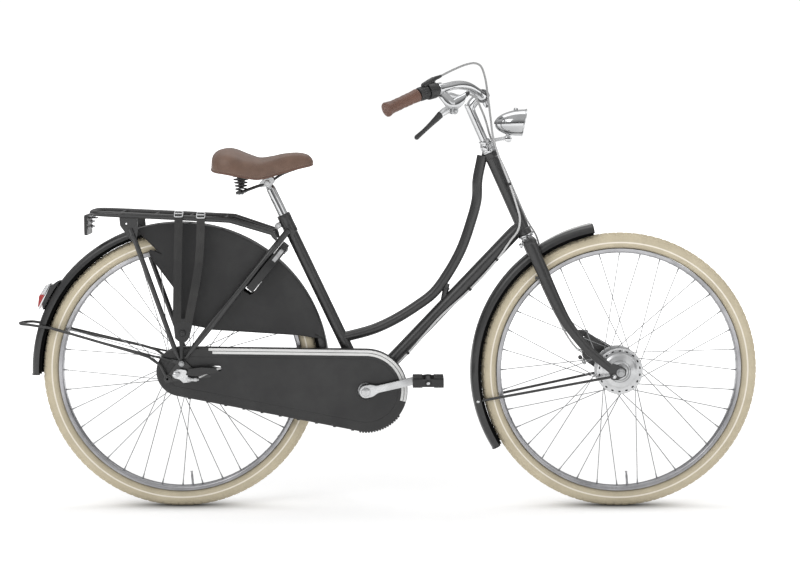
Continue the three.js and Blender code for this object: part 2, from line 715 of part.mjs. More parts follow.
// The seat lug carries an ear for its clamp bolt.
const seatBoltAt = onSeat(seatTubeLength - seatBolt.drop, -seatBolt.back);
const seatBeyond = onSeat(seatTubeLength + overrun);
const seatTube = joined(
  turned(onSeat(0), seatUp, [
    [seatTubeBore, shellRadius - overrun], [seatTubeRadius, shellRadius - overrun],
    [seatTubeRadius, seatTubeLength - seatLugLength], [seatLugRadius, seatTubeLength - seatLugLength],
    [seatLugRadius, seatTubeLength], [seatTubeBore, seatTubeLength], [seatTubeBore, shellRadius - overrun],
  ], 16),
  cross(seatBoltAt, -seatBolt.earHalf, seatBolt.earHalf, seatBolt.earRadius, 10),
);
addPiece("seat_tube", cutBy(seatTube, shellSpace,
  cross(seatBoltAt, -seatBolt.half, seatBolt.half, seatBolt.shank + seatGap, 10),
  rod(onSeat(seatTubeLength - seatLugLength), seatBeyond, seatTubeBore, 16)), "blackPaint");
addPiece("seat_clamp_bolt", joined(
  cross(seatBoltAt, -seatBolt.half, seatBolt.half, seatBolt.shank, 10),
  cross(seatBoltAt, -seatBolt.half, -seatBolt.earHalf - seatGap, seatBolt.head, 10),
  cross(seatBoltAt, seatBolt.earHalf + seatGap, seatBolt.half, seatBolt.head, 10),
), "chrome");

// The swan-neck top tube drops along the head tube, then sweeps back to the seat tube.
const downTubeSpace = rod(bracket, downTubeEnd, downTubeRadius + seatGap, 12);
const downHeading = downTubeEnd.clone().sub(bracket).normalize();
const bridgeFoot = bracket.clone().addScaledVector(downHeading, bridgeAlong);
const topTubePath = curveOf(topTubeLine.map(([x, z]) => [x, 0, z])).getPoints(18);
addPiece("top_tube", cutBy(
  joined(bentRod(topTubePath, topTubeRadius, 10), rod(at3(bridgeTopPlace), bridgeFoot, bridgeRadius, 8)),
  headSpace, headLugSpace, seatTubeSpace, downTubeSpace), "blackPaint");

// Rear triangle: chain stays with their dropouts and bridge, then seat stays with theirs.
const rearPlace = [rearAxle.x, rearAxle.z];
const dropoutY = [dropoutInnerY, dropoutInnerY + dropoutThickness];
const chainStay = joined(
  sweep(chainStayLine.map(at3), chainStaySections.map((section) => ellipse(section, 8))),
  plate(dropoutLine, dropoutY, [disc(rearPlace, axleRadius + seatGap, 8), disc(eyelet, eyeHole, 6)]),
  plate(disc(standPivot, standPin.radius, 8), [dropoutY[0], standPin.to]),
  plate(disc(standPivot, standPin.head, 8), [standPin.headFrom, standPin.to]),
);
addPiece("chain_stays", cutBy(joined(
  ...bothSides(chainStay),
  cross(chainStayBridge, -chainStayBridge.half, chainStayBridge.half, chainStayBridge.radius, 8),
), shellSpace, seatTubeSpace), "blackPaint");

const seatLugSpace = rod(onSeat(seatTubeLength - seatLugLength - seatGap), seatBeyond, seatLugRadius + seatGap, 16);
const seatStay = sweep(seatStayLine.map(at3), seatStaySections.map((section) => ellipse(section, 8)));
const dropoutSpaces = bothSides(plate(dropoutLine, [dropoutY[0] - seatGap, dropoutY[1] + seatGap]));
addPiece("seat_stays", cutBy(joined(
  ...bothSides(seatStay),
  cross(seatStayBridge, -seatStayBridge.half, seatStayBridge.half, seatStayBridge.radius, 8),
), seatTubeSpace, seatLugSpace, ...dropoutSpaces), "blackPaint");

// Fork: curved tapering blades below a crown, with the steerer inside the head tube.
const steerPoint = ([along, forward, side]) => onSteer(along, forward, -side);
const frontPlace = [frontAxle.x, frontAxle.z];
const blade = joined(
  sweep(bladeLine.map(steerPoint), bladeSections.map((section) => ellipse(section, 8))),
  plate(forkTipLine, forkTipY, [disc(frontPlace, axleRadius + seatGap, 8)]),
);
const crown = loft(crownShares.map(([side, share]) => {
  const centre = onSteer(crownAlong, 0, side * crownHalf);
  return ellipse(crownSection, 10).map((q) => centre.clone()
    .addScaledVector(steerOut, q.x * share).addScaledVector(steerUp, q.y * share));
}), ellipse(crownSection, 10));
const quillSpace = rod(onSteer(crownAlong + crownSection[1]), onSteer(steererTop + overrun), steererBore, 16);
addPiece("fork", cutBy(joined(
  ...bothSides(blade), crown, box(forkLug.size, forkLug.centre),
  rod(onSteer(crownAlong), onSteer(steererTop), steererRadius, 16),
), quillSpace), "blackPaint");

addPiece("headset_lower", ring(onSteer(lowerCup.foot), onSteer(lowerCup.top), lowerCup.radius,
  steererRadius + seatGap, 16), "chrome");
addPiece("headset_upper", ring(onSteer(upperCup.foot), onSteer(upperCup.top), upperCup.radius,
  steererRadius + runningGap, 16), "chrome");
const nutBore = steererRadius + seatGap;
addPiece("headset_nut", turned(onSteer(0), steerUp, [
  [nutBore, headNut.foot], [headNut.radius, headNut.foot], [headNut.radius, headNut.neck],
  [headNut.sleeve, headNut.neck], [headNut.sleeve, headNut.capFoot], [headNut.capRadius, headNut.capFoot],
  [headNut.capRadius, headNut.top], [nutBore, headNut.top], [nutBore, headNut.foot],
], 16), "chrome");

// Front axle with the fixed brake plate and its reaction arm on the far side.
function makeAxle(axle, ends, cones, nutY, ...more) {
  return joined(
    cross(axle, ends[0], ends[1], axleRadius, 8),
    ...cones.map(([from, to]) => cross(axle, from, to, axleConeRadius, 8)),
    ...[-1, 1].map((hand) => cross(axle, hand * nutY, hand * (nutY + axleNutLength), axleNutRadius, 6)),
    ...more,
  );
}

addPiece("front_axle_brake_plate", makeAxle(
  frontAxle, [-frontAxleHalf, frontAxleHalf], frontCones, frontNutY,
  cross(frontAxle, brakePlateY[0], brakePlateY[1], brakePlateRadius, 16),
  mirrored(plate(brakeArmLine, brakePlateY)),
), "blackPaint");

// Handlebar: one swept tube, with the stem clamped round its middle.
const barHalf = barLine.map(at3);
const barFar = barHalf.map((p) => v3(p.x, -p.y, p.z)).reverse();
const barCurve = new THREE.CatmullRomCurve3([...barHalf, ...barFar], false, "centripetal");
const barLength = barCurve.getLength();
const barPath = barCurve.getSpacedPoints(32);
const barSpace = bentRod(barPath, barRadius + seatGap, 10);
addPiece("handlebar", bentRod(barPath, barRadius, 10), "chrome");

function barRing({ from, to, radius }, sides) {
  const start = barCurve.getPointAt(from / barLength);
  return rod(start, barCurve.getPointAt(to / barLength), radius, sides);
}

const barEnd = barCurve.getPointAt(0);
const barHeading = barCurve.getTangentAt(0);
const barUp = v3(0, 0, 1).addScaledVector(barHeading, -barHeading.z).normalize();
const gripBody = turned(barEnd, barHeading, gripProfile, 12);
const farGripBody = turned(barEnd, barHeading,
  gripProfile.map(([r, a]) => [r, a > gripFlareEnd ? (a * farGripLength) / gripLength : a]), 12);
addPiece("grip_right", cutBy(gripBody, barSpace), "leather");
addPiece("grip_left", mirrored(cutBy(farGripBody, barSpace)), "leather");

// The twist sleeve is straight and turns about its own line, with its bore and its seat in the body round it.
const twistFrom = barCurve.getPointAt(twist.from / barLength);
const twistTo = barCurve.getPointAt(twist.to / barLength);
const twistHeading = twistTo.clone().sub(twistFrom).normalize();
addPiece("shifter_twist", ring(twistFrom, twistTo, twist.radius, twist.bore, 16), "blackPlastic");
const twistSeat = rod(twistFrom, twistTo.clone().addScaledVector(twistHeading, seatGap), twist.seat, 16);

// The shifter's cable box lies along the bar above its body.
const boxCentre = barCurve.getPointAt(shifterBox.at / barLength).addScaledVector(barUp, shifterBox.rise);
const boxHeading = barCurve.getTangentAt(shifterBox.at / barLength);
const boxEnd = (share) => boxCentre.clone().addScaledVector(boxHeading, shifterBox.length * share);
const boxContour = ellipse([shifterBox.height / 2, shifterBox.width / 2], 8);
addPiece("shifter_body", cutBy(joined(
  barRing(shifter, 12), sweep([boxEnd(-0.5), boxEnd(0.5)], [boxContour, boxContour]),
), barSpace, twistSeat), "blackPlastic");

// Brake lever: a body clamped to the bar, and a blade on a pin.
const pinAxis = at3(leverAxis).normalize();
const onPin = (reach) => at3(leverPivot).addScaledVector(pinAxis, reach);
const pinRod = ({ radius, half }, sides) => rod(onPin(-half), onPin(half), radius, sides);
const leverBody = cutBy(joined(
  barRing(leverClamp, 12),
  sweep(leverBodyLine.map(at3), leverBodySections.map((section) => ellipse(section, 8)), pinAxis),
  pinRod(leverCheek, 10),
), barSpace, pinRod(leverSlot, 12));
addPiece("brake_lever_body", joined(leverBody, pinRod(leverPin, 8)), "chrome");
const leverBlade = joined(pinRod(leverEye, 10),
  sweep(leverBladeLine.map(at3), leverBladeSections.map((section) => ellipse(section, 8)), pinAxis));
addPiece("brake_lever", cutBy(leverBlade, pinRod({ radius: leverEye.bore, half: leverSlot.half }, 8)),
  "blackPlastic");

// Stem: a quill with a forged neck and a clamp round the bar.
const clampAt = at3([barCurve.getPointAt(0.5).x, 0, barCurve.getPointAt(0.5).z]);
const stem = joined(
  rod(onSteer(quillFoot), onSteer(quillTop), quillRadius, 12),
  sweep(stemNeckLine.map(steerPoint), stemNeckSections.map((section) => ellipse(section, 10))),
  cross(clampAt, -stemClampHalf, stemClampHalf, stemClampRadius, 14),
  rod(clampAt.clone().addScaledVector(steerUp, -stemBolt.from), clampAt.clone().addScaledVector(steerUp, -stemBolt.to),
    stemBolt.radius, 6),
);
addPiece("stem", cutBy(stem, barSpace), "chrome");

// Headlamp: a hollow bullet whose face leans, on a bracket held under the headset's top nut.
const lampBase = v3(lampTip[0], 0, lampTip[1]);
const lampForward = v3(1, 0, 0);
const lampEnd = lampProfile[lampProfile.length - 1];
const lampInner = lampProfile.map(([r, a]) => [r - lampWall, a]).reverse();
const lampShell = [[0, 0], ...lampProfile, ...lampInner, [0, lampProfile[0][1] + lampWall]];
const lean = new THREE.Matrix4().makeShear(0, 0, 0, 0, lampLean, 0);
const leaning = (shape) => shape.translate(-lampBase.x, 0, -lampBase.z).applyMatrix4(lean)
  .translate(lampBase.x, 0, lampBase.z);
const knobAt = v3(lampKnob.place[0], 0, lampKnob.place[1]);
const strapStart = onSteer((lampStrap.foot + lampStrap.top) / 2, lampStrap.from);
const strapContour = [
  v2(-lampStrap.thickness / 2, -lampStrap.half), v2(lampStrap.thickness / 2, -lampStrap.half),
  v2(lampStrap.thickness / 2, lampStrap.half), v2(-lampStrap.thickness / 2, lampStrap.half),
];
const strapPath = [strapStart, knobAt, v3(lampStrapEnd[0], 0, lampStrapEnd[1])];
addPiece("headlamp_body", joined(
  leaning(turned(lampBase, lampForward, lampShell, lampSides)),
  ring(onSteer(lampStrap.foot), onSteer(lampStrap.top), lampStrap.ringRadius, lampStrap.ringBore, 14),
  sweep(strapPath, strapPath.map(() => strapContour)),
  cross(knobAt, lampKnob.from, lampKnob.to, lampKnob.radius, 8),
), "chrome");
const lensRadius = lampEnd[0] - lampWall - seatGap;
const lensFrom = lampEnd[1] - lensInset - lensThickness;
addPiece("headlamp_lens", leaning(turned(lampBase, lampForward,
  [[0, lensFrom], [lensRadius - runningGap, lensFrom], [lensRadius, lensFrom + lensThickness],
    [0, lensFrom + lensThickness]], lampSides)), "clearLens");

// Mudguards: rolled gutters round the wheels, with wire stays arched inside them.
const guardOuter = [
  ...guardProfile.map(([r, y]) => v2(r, -y)), ...guardProfile.slice(0, -1).reverse().map(at2),
];
const [lipRadius] = guardProfile[0];
const [crestRadius] = guardProfile[guardProfile.length - 1];
const guardMost = Math.max(...guardProfile.map(([, y]) => y));
const guardInner = guardOuter.map((q) => v2(
  q.x - (guardWall * (q.x - lipRadius)) / (crestRadius - lipRadius), q.y * (1 - guardWall / guardMost))).reverse();
const guardContour = [...guardOuter, ...guardInner];

function makeGuard(axle, [from, to]) {
  const steps = Math.round((to - from) / guardStep);
  return loft(Array.from({ length: steps + 1 }, (_, i) => {
    const angle = from + ((to - from) * i) / steps;
    return guardContour.map((q) => onWheel(axle, angle, q.x, q.y));
  }), guardContour);
}

addPiece("rear_mudguard", makeGuard(rearAxle, rearGuardArc), "blackPaint");
addPiece("front_mudguard", makeGuard(frontAxle, frontGuardArc), "blackPaint");

function makeStays(axle, line, angle, ends) {
  const half = [...line.map(at3), ...guardStayArch.map(([r, y]) => onWheel(axle, angle, r, y))];
  const far = half.map((p) => v3(p.x, -p.y, p.z)).reverse();
  return joined(bentRod([...half, ...far], guardStayRadius, 6), ...ends.flatMap(bothSides));
}

addPiece("rear_guard_stays", makeStays(rearAxle, rearStayLine, rearStayAngle,
  [plate(rearStayTongue, rearStayY, [disc(eyelet, eyeHole, 8)])]), "blackPaint");
addPiece("front_guard_stays", makeStays(frontAxle, frontStayLine, frontStayAngle,
  [plate(disc(frontStayEye.place, frontStayEye.radius, 10), [frontStayEye.from, frontStayEye.to])]), "blackPaint");

// Rear stand: a bow hinged on both dropouts behind the axle, folded up round the mudguard.
const standHalf = rounded(standLine.map(at3), standBend, 1);
const standBow = [...standHalf, ...standHalf.slice(0, -1).map((p) => v3(p.x, -p.y, p.z)).reverse()];
const standEyePlate = plate(disc(standPivot, standEye.radius, 8), [standEye.from, standEye.to]);
const standPinSpace = bothSides(plate(disc(standPivot, standPin.bore, 8), [dropoutY[1], standPin.to]));
addPiece("rear_stand", cutBy(joined(bentRod(standBow, standRadius, 6), ...bothSides(standEyePlate)),
  ...standPinSpace), "blackPaint");

// Rear axle with its nuts; the gear linkage sits outside the near one.
const linkBarrelAt = (x) => v3(x, linkBarrel.y, linkBarrel.z);
addPiece("rear_axle", makeAxle(rearAxle, rearAxleEnds, rearCones, rearNutY,
  plate(linkLine, linkPlateY), rod(linkBarrelAt(linkBarrel.from), linkBarrelAt(linkBarrel.to), linkBarrel.radius, 10),
), "alloy");

// Carrier: one bent tube with rungs, bracket plates and stays down to the dropouts.
const nearCarrier = carrierLine.map(at3);
const farCarrier = nearCarrier.slice(1).map((p) => v3(p.x, -p.y, p.z)).reverse();
const carrierPath = rounded([...farCarrier, ...nearCarrier], carrierBend, 2);
const carrierFoot = rod(nearCarrier[nearCarrier.length - 1], at3(carrierFootEnd), carrierRadius, 8, carrierFootRadius);
const carrierStay = joined(
  bentRod(rounded(carrierStayLine.map(at3), carrierStayBend, 1), carrierStayRadius, 6),
  rod(at3(carrierStayLine[carrierStayLine.length - 1]), at3(carrierStayTip), carrierStayRadius, 6, carrierStayTipRadius),
  plate(disc(eyelet, carrierEye.radius, 8), [carrierEye.from, carrierEye.to]),
  plate(disc(eyelet, carrierStud.radius, 6), [carrierStud.from, carrierStud.headTo]),
  plate(disc(eyelet, carrierStud.head, 8), [carrierEye.to, carrierStud.headTo]),
);
const bracketShape = plate(bracketPlate, bracketPlateY);
addPiece("carrier", joined(
  bentRod(carrierPath, carrierRadius, 8), ...bothSides(carrierFoot), ...bothSides(carrierStay),
  ...bothSides(bracketShape),
  ...carrierRungs.map(([x, z]) => cross(v3(x, 0, z), -rungHalf, rungHalf, rungRadius, 6)),
), "blackPaint");

const strapBand = [
  v2(-strapThickness / 2, -strapHalfWidth), v2(strapThickness / 2, -strapHalfWidth),
  v2(strapThickness / 2, strapHalfWidth), v2(-strapThickness / 2, strapHalfWidth),
];
const straps = strapLines.map((line) => sweep(line.map(at3), line.map(() => strapBand), v3(1, 0, 0)));
const squareLine = (halfX, fromY, toY) => [v2(-halfX, -toY), v2(halfX, -toY), v2(halfX, -fromY), v2(-halfX, -fromY)];
const buckleShape = new THREE.Shape(squareLine(buckle.half, buckle.inner, buckle.outer));
buckleShape.holes = [new THREE.Path(squareLine(buckle.half - buckle.wire, buckle.inner + buckle.wire,
  buckle.outer - buckle.wire))];
const buckles = strapLines.map(([[x, , z]]) => (
  new THREE.ExtrudeGeometry(buckleShape, { depth: buckle.wire, bevelEnabled: false })
    .translate(x, 0, z - buckle.wire / 2)));
addPiece("carrier_straps", joined(...straps, ...buckles, plate(anchorLine, anchorPlateY),
  plate(disc(anchorKnob.place, anchorKnob.radius, 12), [anchorPlateY[0], anchorKnob.to])), "strapRubber");

addPiece("rear_reflector", joined(box(reflectorBox.size, reflectorBox.centre),
  box(reflectorArm.size, reflectorArm.centre)), "redLens");

// Coat guards: thin panels over both sides of the rear wheel.
const coatArc = Array.from({ length: 16 }, (_, i) => {
  const place = onWheel(rearAxle, coatGuardArc[0] + ((coatGuardArc[1] - coatGuardArc[0]) * i) / 15, coatGuardRadius);
  return v2(place.x, place.z);
});
const coatGuard = plate([...coatArc, ...coatGuardLine.map(at2)], coatGuardY, [coatGuardSlot.map(at2)]);
addPiece("coat_guard_right", coatGuard, "blackPlastic");
addPiece("coat_guard_left", mirrored(coatGuard), "blackPlastic");

// Ring lock: an open ring across the seat stays, with its housing on top.
const lockArc = (radius) => Array.from({ length: lockSteps + 1 }, (_, i) => (
  v2(Math.cos((Math.PI * i) / lockSteps) * radius, Math.sin((Math.PI * i) / lockSteps) * radius)));
const lockShape = new THREE.Shape([
  v2(lockLegOuter, -lockLegDrop), ...lockArc(lockOuter), v2(-lockLegOuter, -lockLegDrop),
  v2(-lockInner, -lockLegDrop), ...lockArc(lockInner).reverse(), v2(lockInner, -lockLegDrop),
]);
const lockRing = new THREE.ExtrudeGeometry(lockShape, { depth: lockFront - lockBack, bevelEnabled: false });
const lockBox = box([lockHouse.half * 2, lockHouse.to - lockHouse.from, lockHouse.front - lockBack],
  [0, (lockHouse.to + lockHouse.from) / 2, (lockHouse.front - lockBack) / 2]);
const lockAlong = v3(Math.cos(lockLean), 0, Math.sin(lockLean));
const lockAway = sideways.clone().cross(lockAlong);
const lockFrame = new THREE.Matrix4().makeBasis(sideways, lockAlong, lockAway);
lockFrame.setPosition(v3(lockPlace[0], 0, lockPlace[1]).addScaledVector(lockAway, lockBack));
addPiece("ring_lock", joined(lockRing, lockBox).applyMatrix4(lockFrame), "blackPlastic");

// Tail light on the mudguard
const aroundRear = ([degrees, radius]) => {
  const place = onWheel(rearAxle, radians(degrees), radius);
  return v2(place.x, place.z);
};
addPiece("tail_light_base", plate(tailBase.map(aroundRear), [-tailHalf, tailHalf]), "blackPlastic");
addPiece("tail_light_lens", plate(tailLens.map(aroundRear), [-tailHalf, tailHalf]), "redLens");

// Seat post, saddle frame, springs and saddle
addPiece("seat_post", turned(onSeat(0), seatUp, [
  [0, postShoulder], [postBore, postShoulder], [postBore, postFoot], [postRadius, postFoot],
  [postRadius, postShoulder], [postNeckRadius, postShoulder + overrun], [postNeckRadius, postTop], [0, postTop],
], 16), "chrome");
const postNeckSpace = rod(onSeat(postShoulder), onSeat(postTop + overrun), postNeckRadius + seatGap, 16);
const postShoulderSpace = rod(onSeat(postShoulder), onSeat(postShoulder + overrun + seatGap), postRadius + seatGap, 16);
const railPath = curveOf(railLine).getPoints(7);
addPiece("saddle_frame", cutBy(joined(
  ...bothSides(bentRod(railPath, railRadius, 6)),
  box(yoke.size, yoke.centre),
  plate(postClampLine, [-postClampHalf, postClampHalf]),
), postNeckSpace, postShoulderSpace), "steel");

// One spring wire; its least distance to itself is measured on its points.
const springPath = Array.from({ length: springTurns * springSteps + 1 }, (_, i) => {
  const share = i / (springTurns * springSteps);
  const turn = share * springTurns * Math.PI * 2;
  const radius = THREE.MathUtils.lerp(springFootRadius, springTopRadius, share ** 1.5);
  return v3(springAxis[0] + Math.cos(turn) * radius, springAxis[1] + Math.sin(turn) * radius,
    THREE.MathUtils.lerp(springFoot, springTop, share));
});
let springSelfGap = springTop - springFoot;
springPath.forEach((point, i) => {
  springPath.slice(i + Math.floor(springSteps / 2)).forEach((other) => {
    springSelfGap = Math.min(springSelfGap, point.distanceTo(other) - springWire * 2);
  });
});
console.log(`saddle spring least gap to itself: ${springSelfGap.toFixed(2)} mm`);
const spring = bentRod(springPath, springWire, springSides);
addPiece("saddle_spring_right", spring, "steel");
addPiece("saddle_spring_left", mirrored(spring), "steel");

// The saddle is lofted through stations along its length, with a shallow recess below.
const saddleTurns = Array.from({ length: 11 }, (_, i) => Math.PI - (Math.PI * i) / 10);
const power = (value) => Math.sign(value) * Math.abs(value) ** saddleRoundness;
function saddleSection([x, low, top, half, recess]) {
  const over = saddleTurns.map((turn) => v3(x, power(Math.cos(turn)) * half, low + power(Math.sin(turn)) * (top - low)));
  const under = [1, -1].map((hand) => v3(x, hand * half * saddleRecessShare, low + saddleRecess * recess));
  return [...over, ...under];
}
const saddleRings = saddleStations.map(saddleSection);
addPiece("saddle_top", loft(saddleRings, saddleRings[4].map((p) => v2(p.y, p.z))), "leather");

// Drive: spindle, cranks and pedals
addPiece("crank_spindle", cross(bracket, -spindleHalf, spindleHalf, spindleRadius, 12), "steel");

// The outline round two circles in X and Z, from the first to the second.
function roundTwo(first, second, steps, grow = 0) {
  const reach = Math.hypot(second.x - first.x, second.z - first.z);
  const heading = Math.atan2(second.z - first.z, second.x - first.x);
  const spread = Math.acos((first.radius - second.radius) / reach);
  const arc = (centre, from, to) => Array.from({ length: steps + 1 }, (_, i) => {
    const turn = from + ((to - from) * i) / steps;
    return v2(centre.x + Math.cos(turn) * (centre.radius + grow), centre.z + Math.sin(turn) * (centre.radius + grow));
  });
  return [
    ...arc(second, heading - spread, heading + spread),
    ...arc(first, heading + spread, heading + Math.PI * 2 - spread),
  ];
}

const pedalAt = v3(bracket.x + Math.cos(crankPitch) * crankLength, 0, bracket.z + Math.sin(crankPitch) * crankLength);
const crankPlaces = [
  { x: bracket.x, z: bracket.z, radius: crankBossRadius }, { x: pedalAt.x, z: pedalAt.z, radius: crankTipRadius },
];
function makeCrank(bossY) {
  return cutBy(joined(
    plate(roundTwo(crankPlaces[0], crankPlaces[1], 8), crankArmY),
    cross(bracket, -crankArmY[1], -bossY, crankBossRadius, 12),
    cross(pedalAt, -pedalAxle.end, -crankArmY[0], pedalAxle.radius, 10),
  ), cross(bracket, -spindleHalf - overrun, 0, crankBore, 12));
}

function makePedal() {
  const width = pedalBlock.width;
  const blockAt = (hand) => [pedalAt.x + hand * (pedalHalfLength - width / 2), -(pedalY[0] + pedalY[1]) / 2, pedalAt.z];
  const plateOf = (y) => box([pedalHalfLength * 2, pedalPlate, pedalBlock.halfHeight * 2], [pedalAt.x, -y, pedalAt.z]);
  return cutBy(joined(
    cross(pedalAt, -pedalY[1], -pedalY[0], pedalBarrel.radius, 12),
    ...[-1, 1].map((hand) => box([width, pedalY[1] - pedalY[0], pedalBlock.halfHeight * 2], blockAt(hand))),
    plateOf(pedalY[0] + pedalPlate / 2), plateOf(pedalY[1] - pedalPlate / 2),
  ), cross(pedalAt, -pedalAxle.end - overrun, 0, pedalBarrel.bore, 12));
}

// A far piece is the near one turned half round the bracket and mirrored.
function oppositeCrank(geometry) {
  return geometry.clone().translate(-bracket.x, 0, -bracket.z).scale(-1, -1, -1).translate(bracket.x, 0, bracket.z);
}

function oppositePedal(geometry) {
  const shift = v3(bracket.x - pedalAt.x, 0, bracket.z - pedalAt.z).multiplyScalar(2);
  return mirrored(geometry).translate(shift.x, 0, shift.z);
}

addPiece("crank_right", makeCrank(crankBossY.right), "alloy");
addPiece("crank_left", oppositeCrank(makeCrank(crankBossY.left)), "alloy");
addPiece("pedal_right", makePedal(), "blackPlastic");
addPiece("pedal_left", oppositePedal(makePedal()), "blackPlastic");

// Chainring and sprocket: pitch circles follow from the tooth counts and the chain's pitch.
const pitchRadius = (teeth) => chainPitch / (2 * Math.sin(Math.PI / teeth));
const toothY = [chainLineY - toothHalf, chainLineY + toothHalf];
function gearOutline(centre, teeth) {
  const step = (Math.PI * 2) / teeth;
  const shares = [[-0.26, -toothFall], [-0.09, toothRise], [0.09, toothRise], [0.26, -toothFall]];
  return Array.from({ length: teeth }, (_, i) => shares.map(([share, rise]) => {
    const turn = (i + share) * step;
    const radius = pitchRadius(teeth) + rise;
    return v2(centre.x + Math.cos(turn) * radius, centre.z + Math.sin(turn) * radius);
  })).flat();
}

const windowPlaces = Array.from({ length: ringWindows.count }, (_, i) => {
  const turn = (i / ringWindows.count) * Math.PI * 2;
  return [bracket.x + Math.cos(turn) * ringWindows.at, bracket.z + Math.sin(turn) * ringWindows.at];
});
addPiece("chainring", plate(gearOutline(bracket, ringTeeth), toothY, [
  disc([bracket.x, bracket.z], ringBore, 12), ...windowPlaces.map((place) => disc(place, ringWindows.radius, 8)),
]), "steel");
addPiece("rear_sprocket", joined(
  plate(gearOutline(rearAxle, sprocketTeeth), toothY, [disc(rearPlace, driver.bore, 10)]),
  ring(v3(0, -driver.to, tyreRadius), v3(0, -driver.from, tyreRadius), driver.outer, driver.bore, 10),
), "steel");

// Chain: two rows of link plates joined by rollers on the straight runs, clear of the turning teeth.
const ringPlace = { x: bracket.x, z: bracket.z, radius: pitchRadius(ringTeeth) };
const sprocketPlace = { x: rearAxle.x, z: rearAxle.z, radius: pitchRadius(sprocketTeeth) };
const chainRow = [...chainPlates].map((y) => chainLineY + y);
const otherRow = [...chainPlates].map((y) => chainLineY - y);
const chainOuter = roundTwo(sprocketPlace, ringPlace, 9, chainPlateHalf);
const chainInner = roundTwo(sprocketPlace, ringPlace, 9, -chainPlateHalf);
const chainLine = roundTwo(sprocketPlace, ringPlace, 1);
const rollers = [[chainLine[1], chainLine[2]], [chainLine[0], chainLine[3]]].flatMap(([fromRing, fromSprocket]) => {
  const run = fromSprocket.clone().sub(fromRing);
  const length = run.length();
  const pitch = chainPitch * rollerStep;
  const count = Math.floor((length - rollerClear.ring - rollerClear.sprocket) / pitch);
  return Array.from({ length: count + 1 }, (_, i) => {
    const place = fromRing.clone().addScaledVector(run, (rollerClear.ring + i * pitch) / length);
    return cross(v3(place.x, 0, place.y), -chainRow[1], -otherRow[1], rollerRadius, 4);
  });
});
addPiece("chain", joined(plate(chainOuter, chainRow, [chainInner]), plate(chainOuter, otherRow, [chainInner]),
  ...rollers), "steel");

// Chaincase: a hollow shell open towards the wheel, with ways through for the axle, stay and crank.
const caseOutline = (grow) => roundTwo(caseRear, caseFront, caseArcSteps, grow);
const trimBand = cutBy(
  plate(caseOutline(-trimInset), trimY),
  plate(caseOutline(-trimInset - trimDepth), [trimY[0] - overrun, trimY[1] + overrun]),
);
const trimWindow = box([trimTo - trimFrom, overrun, caseFront.radius * 2],
  [(trimTo + trimFrom) / 2, -(trimY[0] + trimY[1]) / 2, caseFront.z + caseFront.radius]);
const caseTrim = geometryOf(solidOf(trimBand).intersect(solidOf(trimWindow)));
addPiece("chaincase", joined(cutBy(
  plate(caseOutline(0), caseY),
  plate(caseOutline(-caseWall), [caseY[0] + caseWall, caseY[1] - caseWall]),
  plate(caseOutline(-caseLip), [caseY[0] - overrun, caseY[0] + caseWall * 2]),
  cross(bracket, -caseY[1] - overrun, -caseY[0] - caseWall, caseCrankHole, 20),
  cross(rearAxle, -caseY[1] - overrun, -caseY[0] - caseWall, caseAxleHole, 16),
  box([caseStaySlot.to - caseStaySlot.from, overrun, caseStaySlot.high - caseStaySlot.low],
    [(caseStaySlot.to + caseStaySlot.from) / 2, -caseY[1], (caseStaySlot.high + caseStaySlot.low) / 2]),
), caseTrim), "blackPlastic");

// Cables along their routes
function cable(line, steps) {
  return bentRod(curveOf(line).getSpacedPoints(steps), cableRadius, cableSides);
}
addPiece("gear_cable_front", cable(gearFrontLine, 22), "cableGrey");
addPiece("gear_cable_frame", cable(gearFrameLine, 40), "cableGrey");
addPiece("brake_cable", joined(cable(brakeCableLine, 36), mirrored(plate(cableStopLine, cableStopY))), "cableGrey");

// The origin goes below the middle of the bike's length.
const extent = new THREE.Box3().setFromObject(bike);
bike.children.forEach((mesh) => mesh.geometry.translate(-(extent.min.x + extent.max.x) / 2, 0, -extent.min.z));
console.log(`moved by ${(-(extent.min.x + extent.max.x) / 2).toFixed(2)} mm along X`);

export default bike;
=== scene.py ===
import math

import bmesh
import bpy
from mathutils import Matrix, Vector
from mathutils.geometry import tessellate_polygon


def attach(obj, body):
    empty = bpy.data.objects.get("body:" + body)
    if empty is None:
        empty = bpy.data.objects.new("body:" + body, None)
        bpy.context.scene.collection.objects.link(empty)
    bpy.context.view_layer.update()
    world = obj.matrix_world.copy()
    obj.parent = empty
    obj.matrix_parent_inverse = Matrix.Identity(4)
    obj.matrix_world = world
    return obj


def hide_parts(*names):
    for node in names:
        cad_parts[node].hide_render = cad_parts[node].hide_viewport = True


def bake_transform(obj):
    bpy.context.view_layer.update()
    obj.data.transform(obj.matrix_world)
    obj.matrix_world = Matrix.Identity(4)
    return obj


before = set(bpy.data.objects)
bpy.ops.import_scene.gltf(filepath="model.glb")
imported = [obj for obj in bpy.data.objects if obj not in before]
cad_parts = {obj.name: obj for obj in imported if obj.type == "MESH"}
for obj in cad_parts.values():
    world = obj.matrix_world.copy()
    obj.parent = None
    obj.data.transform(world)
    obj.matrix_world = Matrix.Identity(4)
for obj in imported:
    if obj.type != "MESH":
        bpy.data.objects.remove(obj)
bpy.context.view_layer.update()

scene = bpy.context.scene

# the camera stands well back on the chain side, a little above the crossbar and pitched down
cameraSet = {"at": (0.032, -4.9, 1.060), "pitchDown": 5.545, "lens": 85.46, "sensor": 36}
cameraData = bpy.data.cameras.new("sideCamera")
cameraData.lens = cameraSet["lens"]
cameraData.sensor_width = cameraSet["sensor"]
camera = bpy.data.objects.new("sideCamera", cameraData)
camera.location = cameraSet["at"]
camera.rotation_euler = (math.radians(90 - cameraSet["pitchDown"]), 0, 0)
scene.collection.objects.link(camera)
scene.camera = camera

